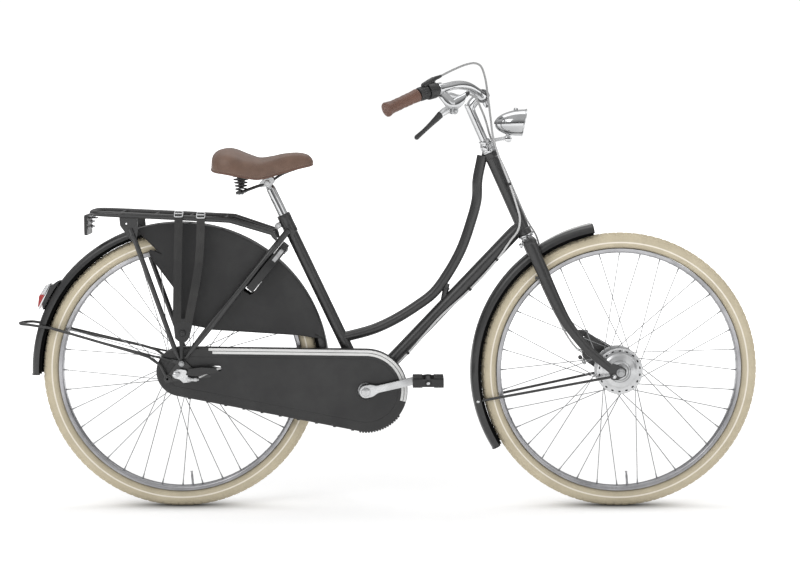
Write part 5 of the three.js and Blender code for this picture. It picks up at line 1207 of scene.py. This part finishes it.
carrier.both(carrierSide)
addPiece(carrier, "carrier", [enamelBlack, zinc], "frame", ["carrier"])
strapShape = Shape()
strapLines = (
    ((6.5, -70, 770.5), (6.5, -82, 769), (6.5, -87, 762), (6.5, -87, 748), (3, -86.5, 640), (-1, -84.5, 490)),
    ((62.8, -70, 767.5), (62.8, -82, 766), (62.8, -87, 759), (62.8, -87, 745), (56, -86.5, 640), (28, -84.5, 490)))
w, h = carrierSet["band"], carrierSet["bandThick"] / 2
band = [(-h, 0.8 - w), (-h + 0.5, -w), (h - 0.5, -w), (h, 0.8 - w), (h + 0.45, -w * 0.55), (h, -w * 0.3),
        (h, w * 0.3), (h + 0.45, w * 0.55), (h, w - 0.8), (h - 0.5, w), (-h + 0.5, w), (-h, w - 0.8)]
for line in strapLines:
    path = smoothPath(line, 60)
    strapShape.sweep(path, [band] * 61, Vector((1, 0, 0)))
    x, z = line[0][0], line[0][2]
    tilt = Vector((0, -13, 14.5)).normalized()      # a wire buckle
    corners = [Vector((x + a, y, z + b)) for a, y, b in (
        (-10.4, -75, 4), (10.4, -75, 4), (10.4, -89.5, -9), (-10.4, -89.5, -9))]
    wire = []
    for i, b in enumerate(corners):
        back, on = corners[i - 1] - b, corners[(i + 1) % 4] - b
        wire += cornerArc(b + back.normalized() * 4, b, b + on.normalized() * 4, 5)
    strapShape.bead(wire, tilt, ovalRing(1.7, 1.7, 14), mark=1)
    strapShape.rod((x - 9.6, -83.6, z - 1.4), (x + 9.6, -83.6, z - 1.4), 1.9, 14, mark=1)
anchor = [(-11, 500), (40, 500), (37, 478), (31, 453), (24, 443), (15, 438), (13, 420), (12.5, 396), (6, 396),
          (6, 420), (4, 442), (-6, 450)]
strapShape.plate(roundedOutline(anchor, 5), -85.6, -80.7, mark=2)
strapShape.lathe((13.2, -84.6, 463.9), (0, -1, 0), [(0, 0), (8.4, 0), (8.6, 2), (7.6, 4.4), (5.2, 6), (0, 6.6)], 36,
                 mark=2)
addPiece(strapShape, "carrierStraps", [strapRubber, alloy, darkPlastic], "frame", ["carrier_straps"])
for number, line in enumerate(strapLines):
    # small moulded bumps down the middle of each strap
    path = smoothPath([(x, y - carrierSet["bandThick"] / 2 - 0.1, z) for x, y, z in line[3:]], 30)
    pathObject = lineObject(path, "strapLine")
    nub = helperObject(Shape().rod((0, -0.45, 0), (0, 0.45, 0), 1.7, 10), "strapNub")
    grown(pathTree, f"strapNubs{number}", {"Path": pathObject, "Piece": nub, "Count": 22}, strapRubber, "frame",
          [nub, pathObject])


# flat reflector behind the carrier
def facingBack(a, b, depth):
    return Vector((depth, a, b + 737))


reflector = Shape().plate(roundedOutline(oblong(44, 26), 5), -240.6, -233.2, spot=facingBack, mark=1)
reflector.plate(roundedOutline(oblong(39, 22), 4), -241.7, -240.4, spot=facingBack)
reflector.box((22, 16, 3), (-223, 0, 753.6), mark=1)
reflector.lathe((-222, 0, 755.2), (0, 0, 1), [(0, 0), (4.6, 0), (4.6, 2.4), (3.6, 3.4), (0, 3.6)], 6, mark=2)
for z in (730, 743):
    for y in (-30, 30):
        reflector.lathe((-233.4, y, z), (1, 0, 0), [(0, 0), (4.4, 0), (4.4, 4), (2.4, 4.6), (2.4, 9), (0, 9.4)], 16,
                        mark=2)
addPiece(reflector, "rearReflector", [redPlastic, darkPlastic, zinc], "frame", ["rear_reflector"],
         bevel=0.5)

# coat guards
skirtSet = {"near": -30.15, "far": -28.95, "radius": 383, "bead": 1.5}
skirtArc = [onWheel(rear, math.radians(12.5 + 94 * i / 48), skirtSet["radius"]) for i in range(49)]
skirtEdge = [(p.x, p.z) for p in skirtArc]
skirtLine = roundedOutline([(-98.1, 689.9), (-12.1, 573), (-10.7, 486.3), (61, 472.8), (81.6, 467.1), (311.1, 452.3),
                            (375.5, 441.2)], 14)
skirtLine = [q for q in skirtLine if math.hypot(q[0], q[1] - rear.z) < skirtSet["radius"] - 2]
slotLine = roundedOutline([(160, 578), (166, 566), (181, 556), (190, 560), (213, 590), (206, 594), (192, 577),
                           (184, 573), (172, 581), (166, 587)], 3, 3)
for side, hand in (("near", 1), ("far", -1)):
    skirt = Shape().plate(skirtEdge + skirtLine, skirtSet["near"] * hand, skirtSet["far"] * hand, [slotLine])
    y = hand * (skirtSet["near"] + skirtSet["far"]) / 2
    edge = [Vector((a, y, b)) for a, b in skirtEdge + skirtLine]
    skirt.bead(edge, acrossBike, ovalRing(skirtSet["bead"], skirtSet["bead"], 10))
    skirt.bead([Vector((a, y, b)) for a, b in slotLine], acrossBike, ovalRing(1.1, 1.2, 8))
    node = "coat_guard_right" if hand > 0 else "coat_guard_left"
    addPiece(skirt, f"{side}CoatGuard", skirtVinyl, "frame", [node], sharp=50)

# ring lock
softCopy("ring_lock", "ringLock", darkPlastic, "frame", bevel=3.2, steps=4)
lockUp = Vector((math.cos(math.radians(50.8)), 0, math.sin(math.radians(50.8))))
lockAway = acrossBike.cross(lockUp)
lockMid = Vector((215, 0, 641))
key = Shape()
face = lockMid + lockUp * 58 + lockAway * 29.2
key.lathe(face + acrossBike * -20, lockAway, [
    (0, 0), (8.4, 0), (8.4, 1.4), (7.4, 2.4), (4, 2.4), (3.6, 1.8), (0, 1.8)], 32)
key.lathe(face + acrossBike * 16, lockAway, [(0, 0), (3.4, 0), (3.2, 0.9), (0, 1.0)], 20)
for across in (-54, 54):
    spot = lockMid + lockUp * -40 + lockAway * 29.2 + acrossBike * across
    key.lathe(spot, lockAway, [(0, 0), (4, 0), (3.8, 1), (0, 1.2)], 20)
path = [lockMid + lockUp * (math.sin(t) * 66.4) + acrossBike * (math.cos(t) * 66.4) + lockAway * 20
        for t in (math.radians(20 + 140 * i / 40) for i in range(41))]
key.sweep(path, [oblong(1.1, 5)] * 41, lockAway)
addPiece(key, "lockKeyWork", alloy, "frame", ())

# tail light
lightBase = softCopy("tail_light_base", "tailLightBase", darkPlastic, "frame", bevel=2.2, steps=3)
for vertex in lightBase.data.vertices:      # its foot drawn up a little
    x, z = vertex.co.x * 1000 + middle, vertex.co.z * 1000 - rear.z
    turn, reach = math.degrees(math.atan2(z, x)), math.hypot(x, z)
    if turn > 150:
        turn = math.radians(150 + (turn - 150) * 0.66)
        vertex.co.x, vertex.co.z = (math.cos(turn) * reach - middle) / 1000, (math.sin(turn) * reach + rear.z) / 1000
softCopy("tail_light_lens", "tailLightLens", tailPlastic, "frame", bevel=2.2, steps=3)
collar = Shape()
low, high = onWheel(rear, math.radians(146.6), 400.6), onWheel(rear, math.radians(156.3), 397.2)
collar.plate([(low.x, low.z), (low.x - 3, low.z + 1.4), (high.x - 3.4, high.z + 1.6), (high.x, high.z)], -22.3, 22.3)
addPiece(collar, "tailLightBand", chrome, "frame", (), bevel=0.5)

# chaincase
caseSet = {"rear": (5.6, 360.4, 64), "front": (481, 311.1, 107), "open": -33.5, "lip": 18, "steps": 48,
           "trimFrom": 77, "trimLow": 281}
chaincase = Shape()
c = caseSet
outside = [(-c["lip"], c["open"]), (-1.2, c["open"]), (0, c["open"] - 1), (0.3, -40), (0.3, -56), (-0.6, -59),
           (-2.6, -60.6), (-5, -61.2), (-7, -61.0), (-8.2, -61.0)]
inside = [(-8.2, -59.4), (-3, -59), (-1.8, -57), (-1.6, -40), (-1.8, c["open"] - 1.8), (-c["lip"], c["open"] - 1.8)]


def caseBand(section, steps):
    chaincase.skin([[Vector((x, y, z)) for x, z in roundTwo(c["rear"], c["front"], steps, grow)]
                    for grow, y in section], closed=True)


caseBand(outside + inside, c["steps"])
slot = roundedOutline(oblong(12.5, 8, 96.5, 368), 7)
chaincase.plate(roundTwo(c["rear"], c["front"], c["steps"], -7.6), -60.9, -59.4,
                [ringOf(bracket.x, bracket.z, 21, 48), ringOf(rear.x, rear.z, 13, 32), slot])
chaincase.lathe(bracket, acrossBike, [
    (21, -59.6), (21, -61.8), (22.4, -62.2), (23.8, -61.8), (24.2, -60.6), (21, -59.6)], 64)
# a raised line a little inside the rim
caseBand([(-23.4, -60.7), (-23.9, -61.35), (-25.1, -61.35), (-25.6, -60.7)], 64)
caseEdge = roundTwo(c["rear"], c["front"], 240, 0)
lowFront, lowRear = caseEdge[0], caseEdge[-1]
for i in range(10):     # moulded clips along the lower edge, then closer round the front
    share = (i + 0.7) / 10
    x, z = [a + (b - a) * share for a, b in zip(lowRear, lowFront)]
    chaincase.box((7.6, 14, 2.6), (x, -52, z - 0.6))
for i in range(16):
    x, z = caseEdge[4 + i * 5]
    chaincase.lathe((x, -60, z), acrossBike, [(0, 0), (3.1, 0), (3.1, 14), (0, 14)], 12)
addPiece(chaincase, "chaincase", casePlastic, "frame", ["chaincase"], sharp=34)
highFront, highRear = caseEdge[240], caseEdge[241]
trimSlope = (highFront[1] - highRear[1]) / (highFront[0] - highRear[0])
trimStart = [Vector((x, 0, highRear[1] + trimSlope * (x - highRear[0])))
             for x in (c["trimFrom"], 180, 300, 420)]
top = evenPath(trimStart + [Vector((x, 0, z)) for x, z in reversed(caseEdge[:241])
                            if z > c["trimLow"] or x < bracket.x], 150)
top = [p for p in top if p.z > c["trimLow"]]
trim = Shape()
for skip, inset in ((0, 4.6), (2, 12.6)):
    run = top[skip:]
    line = []
    for i, p in enumerate(run):
        heading = (run[min(i + 1, len(run) - 1)] - run[max(i - 1, 0)]).normalized()
        out = heading.cross(acrossBike)
        line.append(p - out * inset + Vector((0, -61.6, 0)))
    trim.sweep(line, [[(-3.3, -0.5), (-2.9, 0.5), (2.9, 0.5), (3.3, -0.5)]] * len(line), acrossBike)
addPiece(trim, "chaincaseTrim", paleTrim, "frame", ())
print("rear parts made")

# rear axle, nuts and the gear linkage
axleWork = Shape().cross(rear, -92, 82, 5, 28)
for low, high in ((-63.7, -35), (40.5, 63.7)):
    axleWork.cross(rear, low, high, 7, 28)
for hand in (-1, 1):
    axleWork.lathe(rear + acrossBike * hand * 69.3, (0, hand, 0), [(0, 0), (11, 0), (11, 1.4), (9.6, 1.8), (0, 1.8)],
                   40)
    axleWork.lathe(rear + acrossBike * hand * 71, (0, hand, 0), [(0, 0), (9, 0), (9, 5), (7.6, 6.6), (0, 6.6)], 6)
    axleWork.lathe(rear + acrossBike * hand * 76, (0, hand, 0), [(0, 0), (6.8, 0), (6.6, 3.4), (5, 5), (0, 5.4)], 32)
link = [(-14, 352), (-11, 364), (6, 370), (20, 368), (26, 358), (24, 350), (34, 349), (34, 338), (14, 335), (4, 344),
        (-8, 347)]
axleWork.plate(roundedOutline(link, 4), -82.6, -77.6, [ringOf(30, 344, 2.4, 16)], mark=1)
axleWork.lathe((24, -86, 344), (1, 0, 0), [
    (0, -1), (3.4, -1), (4.8, 0), (5.2, 1), (5.2, 8), (4.4, 9), (4.4, 17), (5.2, 18), (5.2, 25), (3.6, 26), (2.6, 30),
    (0, 30)], 28, mark=1)
for i in range(10):
    axleWork.lathe((24 + 9.4 + i * 0.8, -86, 344), (1, 0, 0), [(0, -0.2), (4.9, -0.2), (4.9, 0.2), (0, 0.2)], 20,
                   mark=1)
axleWork.lathe((-6, -83, 356), (0, -1, 0), [(0, 0), (7.6, 0), (8, 2), (7, 5.6), (4, 7.4), (0, 8)], 32, mark=1)
cover = [(20, 356), (28, 372), (60, 376), (98, 374), (104, 366), (98, 361), (70, 358), (54, 354), (36, 355)]
axleWork.plate(roundedOutline(cover, 3), -90.6, -89, mark=2)
addPiece(axleWork, "rearAxleWork", [zinc, alloy, darkPlastic], "frame", ["rear_axle"])

# front axle, brake plate and its reaction arm
brakePlate = Shape().cross(front, -70, 70, 5, 28, mark=1)
for low, high in ((-51.2, -47.1), (31.9, 51.2)):
    brakePlate.cross(front, low, high, 7, 28, mark=1)
for hand in (-1, 1):
    brakePlate.lathe(front + acrossBike * hand * 58.8, (0, hand, 0), [
        (0, 0), (11, 0), (11, 1.4), (9.6, 1.8), (0, 1.8)], 40, mark=1)
    brakePlate.lathe(front + acrossBike * hand * 60.5, (0, hand, 0), [(0, 0), (9, 0), (9, 5), (7.6, 6.4), (0, 6.4)],
                     6, mark=1)
brakePlate.lathe(front + acrossBike * 33, acrossBike, [
    (6, 0), (49.2, 0), (50, 0.8), (50, 2.6), (48, 3.6), (40, 3.8), (36, 4.8), (22, 5.4), (18, 8), (6, 8.4), (6, 0)],
                 96, mark=2)
arm = [(1060, 372), (1048, 386), (1045, 404), (1051, 440), (1058, 450), (1092, 433), (1128, 412), (1160, 394),
       (1160, 330), (1120, 330)]
brakePlate.plate(roundedOutline(arm, 3), 33, 38)
brakePlate.lathe((1047, 36, 381), (0.42, 0, -0.9), [
    (0, -2), (3.6, -2), (3.8, 2), (5.2, 3), (5.2, 9), (4, 10), (4, 15), (2, 16), (0, 16)], 20, mark=2)
brakePlate.lathe((1041, 34, 385), acrossBike, [(0, 0), (5.4, 0), (5.4, 8), (0, 8)], 20)
addPiece(brakePlate, "frontBrakePlate", [enamelBlack, zinc, alloy], "steering", ["front_axle_brake_plate"])

# seat post, saddle frame and springs
post = Shape().lathe(onSeat(0), seatUp, [
    (10.8, 350), (12.6, 350), (12.6, 572), (12.2, 574), (10.6, 579), (10.3, 581), (10.3, 605), (9.6, 606), (0, 606),
    (0, 574), (10.8, 573), (10.8, 350)], 48)
addPiece(post, "seatPost", chrome, "frame", ["seat_post"])
saddleFrame = Shape()
railPath = smoothPath([(163, -47, 821), (198, -30, 834), (232, -22, 846), (268, -15, 868), (306, -8, 882)], 50)
saddleFrame.both(lambda: saddleFrame.tube(railPath, 3.4, 20))
saddleFrame.plate(roundedOutline(oblong(11, 61, 160), 6), 818.1, 822.7,
                  spot=lambda a, b, depth: Vector((a, b, depth)))
clamp = [(207, 836), (212, 832), (240, 839), (246, 846), (245, 856), (240, 859), (214, 852), (208, 845)]
saddleFrame.plate(roundedOutline(clamp, 3), -27, 27, mark=1)
for hand in (-1, 1):
    hexBolt(saddleFrame, (228, hand * 27, 845), (0, hand, 0), 7, 8, mark=1)
    for x in (155, 163):
        saddleFrame.lathe((x, hand * 54, 817.9), (0, 0, -1), [(0, 0), (5.4, 0), (5.2, 3), (0, 3.4)], 6, mark=1)
addPiece(saddleFrame, "saddleFrame", [blackSpring, alloy], "frame", ["saddle_frame"])
coilSet = {"foot": 826, "top": 867, "footRadius": 9, "topRadius": 17, "wire": 2.0, "turns": 5}
for side, hand in (("near", 1), ("far", -1)):
    coil = []
    for i in range(241):
        share = i / 240
        turn = share * coilSet["turns"] * 2 * math.pi
        radius = coilSet["footRadius"] + (coilSet["topRadius"] - coilSet["footRadius"]) * share ** 1.5
        coil.append(Vector((159 + math.cos(turn) * radius, hand * (-54 + math.sin(turn) * radius),
                            coilSet["foot"] + (coilSet["top"] - coilSet["foot"]) * share)))
    spring = Shape().tube(coil, coilSet["wire"], 12)
    node = "saddle_spring_right" if hand > 0 else "saddle_spring_left"
    addPiece(spring, f"{side}SaddleSpring", blackSpring, "frame", [node])

# saddle: a padded hide over a shell, its skirt turned under
saddleSet = {"rings": 72, "around": 72, "round": 0.62, "recess": 9, "stitchLift": 7, "stitches": 58}
stations = [(86.4, 882, 903, 40, 0.2), (91, 876, 918, 72, 0.6), (104, 872.5, 930, 91, 0.9), (122, 870, 934.5, 99, 1),
            (144, 866, 932, 102, 1), (180, 859, 918, 95, 1), (208, 855, 910, 77, 1), (240, 861, 913.5, 57, 1),
            (262, 868, 918.5, 46, 1), (285, 874.5, 921.5, 38, 1), (308, 880.5, 922, 32, 1), (328, 885, 918, 26, 0.8),
            (338.5, 887.5, 911, 19, 0.5), (344.6, 890, 901, 10, 0.2)]
rows, edgeLine = [], []
for x, low, high, half, hollow in through(stations, saddleSet["rings"]):
    row = []
    for ct, st in ovalRing(1, 1, saddleSet["around"]):
        across = math.copysign(abs(ct) ** saddleSet["round"], ct)
        if st >= 0:
            z = low + (high - low) * st ** saddleSet["round"]
            # a shallow furrow down the back
            z -= 2.4 * math.exp(-(ct / 0.16) ** 2) * min(1, max(0, (230 - x) / 60)) * st
        else:
            z = low + saddleSet["recess"] * hollow * min(1, (1 - abs(ct) ** 5) * 1.3) - 1.2 * (abs(ct) ** 9)
        row.append(Vector((x, half * across, z)))
    rows.append(row)
    edgeLine.append((x, low, high, half))
saddleObject = addPiece(Shape().skin(rows), "saddleHide", saddleHide, "frame", ["saddle_top"],
                        sharp=70)


def skirtRing(lift, out):
    # a line round the saddle's side, a set height above its lower edge
    left = []
    for x, low, high, half in edgeLine[2:-2]:
        s = min(max(lift / (high - low), 0.02), 0.98) ** (1 / saddleSet["round"])
        t = math.asin(min(s, 0.999))
        left.append(Vector((x, -(half * abs(math.cos(t)) ** saddleSet["round"] + out), low + lift)))
    return left


seam = Shape()
seam.both(lambda: seam.tube(evenPath(skirtRing(1.6, 0.1), 90), 1.7, 12))
addPiece(seam, "saddlePiping", gripHide, "frame", ())
for side, hand in (("near", 1), ("far", -1)):
    line = [Vector((p.x, p.y * hand, p.z)) for p in evenPath(skirtRing(saddleSet["stitchLift"], 0.15), 120)]
    pathObject = lineObject(line, "stitchLine")
    stitch = Shape().tube([Vector((s, 0, 0)) for s in (-1.5, -0.9, 0.9, 1.5)], [0.2, 0.5, 0.5, 0.2], 6)
    thread = helperObject(stitch, "oneStitch")
    grown(pathTree, f"{side}SaddleStitches", {"Path": pathObject, "Piece": thread, "Count": saddleSet["stitches"]},
          threadTan, "frame", [thread, pathObject])
print("saddle made")

# cranks and pedals
crankSet = {"length": 163, "pitch": math.radians(12.9), "slimFrom": 12, "slimTo": 34, "tipAt": 138, "slimBy": 0.40,
            "slimLess": 0.15, "cuts": (10, 13, 16, 19, 22, 25, 28, 31, 34, 70, 105, 138, 143, 148, 152)}
pedalAt = onWheel(bracket, crankSet["pitch"], crankSet["length"])
farPedalAt = bracket * 2 - pedalAt
for name, hand in (("right", 1), ("left", -1)):
    c = crankSet
    mesh = softCopy(f"crank_{name}", f"{name}Crank", alloy, "crankset", bevel=2.6, steps=4,
                    sharp=40).data
    along = Vector((math.cos(c["pitch"]), 0, math.sin(c["pitch"]))) * hand
    square = acrossBike.cross(along)
    work = bmesh.new()
    work.from_mesh(mesh)
    for cut in c["cuts"]:
        bmesh.ops.bisect_plane(work, geom=work.verts[:] + work.edges[:] + work.faces[:], dist=1e-6,
                               plane_co=inMetres(bracket + along * cut), plane_no=along)
    for vertex in work.verts:      # the arm drawn in between its two ends
        place = Vector((vertex.co.x * 1000 + middle, vertex.co.y * 1000, vertex.co.z * 1000)) - bracket
        run = min(max((place.dot(along) - c["slimFrom"]) / (c["slimTo"] - c["slimFrom"]), 0), 1)
        onward = min(max((place.dot(along) - c["slimTo"]) / (c["tipAt"] - c["slimTo"]), 0), 1)
        slimBy = (c["slimBy"] - c["slimLess"] * onward) * (run * run * (3 - 2 * run))
        vertex.co = inMetres(place - square * place.dot(square) * slimBy + bracket)
    work.to_mesh(mesh)
    work.free()
caps = Shape()
for hand in (-1, 1):
    caps.lathe(bracket + acrossBike * hand * 79, (0, hand, 0), [
        (0, 0), (11.6, 0), (11.6, 2), (10.8, 3.2), (8.4, 3.8), (0, 4)], 48)
    at = pedalAt if hand < 0 else farPedalAt
    caps.lathe((at.x, hand * 66.8, at.z), (0, -hand, 0), [(0, 0), (5.4, 0), (5.2, 1.4), (0, 1.6)], 6)
addPiece(caps, "crankCaps", alloy, "crankset", ())
pedalSet = {"half": 39, "low": 86, "high": 172, "height": 12.5, "ribs": 9}
for name, hand, at in (("right", -1, pedalAt), ("left", 1, farPedalAt)):
    p = pedalSet
    pedal = Shape()
    low, high = sorted((hand * p["low"], hand * p["high"]))
    pedal.lathe((at.x, hand * p["low"], at.z), (0, hand, 0), [
        (5.5, 0), (9.4, 0), (9.4, 3), (8, 6), (8, 78), (9.4, 82), (9.4, 85), (7, 86), (5.5, 86), (5.5, 0)], 40,
                mark=1)
    pedal.lathe((at.x, hand * (p["high"] - 1), at.z), (0, hand, 0), [
        (0, 0), (7.4, 0), (7.4, 2.4), (6.4, 4), (0, 4.4)], 6, mark=1)
    for side in (-1, 1):
        # a rubber block with ribs across its treads
        inner, outer = side * 15.2, side * p["half"]
        top = []
        for i in range(p["ribs"]):
            a, b, onward = (inner + (outer - inner) * (i + share) / p["ribs"] for share in (0, 0.62, 1))
            top += [(a, p["height"]), (b, p["height"]), (b, p["height"] - 1.8), (onward, p["height"] - 1.8)]
        outline = top + [(a, -b) for a, b in reversed(top)]
        pedal.plate([(at.x + a, at.z + b) for a, b in outline], low + 3, high - 3)
    for y in (p["low"] + 2, p["high"] - 2):
        edge = roundedOutline(oblong(p["half"], 9.5, at.x, at.z), 6)
        pedal.plate(edge, hand * y - 2, hand * y + 2, [ringOf(at.x, at.z, 8.2, 32)], mark=1)
    addPiece(pedal, f"{name}Pedal", [pedalRubber, darkPlastic], f"{name}_pedal", [f"pedal_{name}"])

# cables
cableSet = {"radius": 2.7, "sides": 14}
gearLine = [gearExit, gearOnward, (735, -142, 1145), (758, -112, 1148), (773, -88, 1140), (784, -70, 1112),
            (792, -54, 1065), (799, -42, 1015), (807, -34, 960), (819, -28, 922), (832, -25, 887), (850, -23, 842),
            (866, -22.5, 795), (877, -22.5, 752), (872, -24, 722), (853, -24.5, 696), (818, -16, 645),
            (750, -15, 569), (672.6, -20, 498), (589.5, -21, 404), (546, -24, 363), (508, -27.5, 346),
            (462, -32, 342), (400, -39.5, 346), (300, -44, 351), (200, -49.5, 361), (135, -53, 368),
            (112, -54.6, 369), (96, -62, 367), (80, -74, 361), (54, -86, 350)]
gear = Shape().tube(smoothPath(gearLine, 420), cableSet["radius"], cableSet["sides"])
gearObject = addPiece(gear, "gearCable", cableSkin, None, ["gear_cable_front", "gear_cable_frame"])
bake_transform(gearObject)
brakeLine = [(737, -166, 1073), (757, -128, 1062), (775, -70, 1032), (789, -14, 1002), (801, 16, 965), (818, 23, 925),
             (836, 26, 888), (866, 28, 820), (898, 31, 748), (924, 38, 704), (936, 58, 664), (950, 64.5, 600),
             (972, 65, 520), (1002, 63, 450), (1036, 50, 404), (1053, 42, 397)]
brakeCable = Shape().tube(smoothPath(brakeLine, 260), cableSet["radius"], cableSet["sides"])
brakeCable.plate(roundedOutline([(1046, 388), (1044, 400), (1062, 408), (1066, 392)], 2), 38.4, 44, mark=1)
brakeCable.lathe((1036, 50, 404), (17, -8, -7), [(0, -3), (3.4, -3), (3.6, 8), (4.4, 9), (4.4, 14), (3, 15), (0, 15)],
                 24, mark=1)
addPiece(brakeCable, "brakeCable", [cableSkin, alloy], "steering", ["brake_cable"])
clips = Shape()
for at, run in (((819, -16, 646), (-0.66, 0, -0.75)), ((750, -15, 569), (-0.72, 0, -0.69)),
                ((850, -23, 842), (0.35, 0, -0.94)), ((589.5, -21, 404), (-0.72, 0, -0.69))):
    clips.lathe(at, run, [(2.3, -3.4), (3.6, -3.4), (3.9, -2.4), (3.9, 2.4), (3.6, 3.4), (2.3, 3.4), (2.3, -3.4)], 20)
addPiece(clips, "cableClips", darkPlastic, "frame", ())
print("cables made")

# hidden parts keep their own form and get the same finishes
for node in ("chain", "chainring", "rear_sprocket", "crank_spindle"):
    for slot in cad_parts[node].material_slots:
        slot.material = zinc


# studio
studioSet = {"sky": 0.74, "white": 1.05, "key": 48, "fill": 16, "top": 30, "floor": (0.90, 0.90, 0.90),
             "floorGlow": 0.30, "floorSize": 40}


def softLight(name, at, aim, size, power):
    data = bpy.data.lights.new(name, "AREA")
    data.shape = "RECTANGLE"
    data.size, data.size_y = size
    data.energy = power
    lamp = linked(name, data)
    lamp.location = at
    lamp.rotation_euler = (Vector(aim) - Vector(at)).to_track_quat("-Z", "Y").to_euler()


floorMesh = bpy.data.meshes.new("studioFloor")
floorRim = [(x, y, 0) for x, y in ringOf(0, 0, studioSet["floorSize"], 64)]
floorMesh.from_pydata(floorRim, [], [tuple(range(64))])
floorObject = linked("studioFloor", floorMesh)
floorFinish = Finish("studioFloorPaint", Base_Color=studioSet["floor"], Roughness=0.9, Specular_IOR_Level=0.1)


def tyreShade(x):
    # the painted shadow where a tyre meets the floor, soft and dark
    spot = ((floorFinish.axis("X") - (x - middle) / 1000) / 0.15) ** 2 + (floorFinish.axis("Y") / 0.05) ** 2
    return (spot * -1).do("EXPONENT")


shade = tyreShade(rear.x) + tyreShade(front.x)
paint = floorFinish.colour(floorFinish.noise(0.8), studioSet["floor"], (0.915, 0.915, 0.915))
# painted shadow: the floor's colour goes dark under each tyre
floorFinish.set("Base Color", floorFinish.colour(shade * 0.8, paint, (0.10, 0.10, 0.10)))
away = floorFinish.axis("X") ** 2 + floorFinish.axis("Y") ** 2
glow = studioSet["floorGlow"]       # it glows more away from the bike, so no edge of it shows
glowing = floorFinish.colour(away.above(7, 10), (glow, glow, glow), (1, 1, 1))
# the painted shadow also takes the floor's glow away under the tyres
floorFinish.set("Emission Color", floorFinish.colour(shade, glowing, (0.0, 0.0, 0.0)))
floorFinish.shader.inputs["Emission Strength"].default_value = 1
floorMesh.materials.append(floorFinish.material)

softLight("keyWindow", (-2.6, -3.6, 3.4), (0, 0, 0.5), (2.6, 2.2), studioSet["key"])
softLight("fillWindow", (3.2, -3.2, 2.2), (0.2, 0, 0.6), (2.2, 2.2), studioSet["fill"])
softLight("topWindow", (0, 0.6, 3.8), (0, 0, 0.4), (3.4, 1.8), studioSet["top"])

world = bpy.data.worlds.new("studioSky") if scene.world is None else scene.world
scene.world = world
world.use_nodes = True
sky = world.node_tree
sky.nodes.clear()
where = makeNode(sky, "ShaderNodeTexCoord")
split = makeNode(sky, "ShaderNodeSeparateXYZ", (), {0: where.outputs["Generated"]})
stops = ((0.02, (0.05, 0.05, 0.052)), (0.18, (0.34, 0.34, 0.345)), (0.55, (1, 1, 1)))
ramp = makeNode(sky, "ShaderNodeValToRGB", {"stops": stops}, {"Fac": split.outputs["Z"]})
# what the bike mirrors, and the plain white that the camera sees
ringed = makeNode(sky, "ShaderNodeBackground", (), {"Color": ramp.outputs["Color"], "Strength": studioSet["sky"]})
white = makeNode(sky, "ShaderNodeBackground", (), {"Color": (1, 1, 1), "Strength": studioSet["white"]})
seen = makeNode(sky, "ShaderNodeLightPath")
mixed = makeNode(sky, "ShaderNodeMixShader", (), {
    0: seen.outputs["Is Camera Ray"], 1: ringed.outputs[0], 2: white.outputs[0]})
makeNode(sky, "ShaderNodeOutputWorld", (), {0: mixed.outputs[0]})
scene.view_settings.view_transform = "Standard"
print("studio lit")
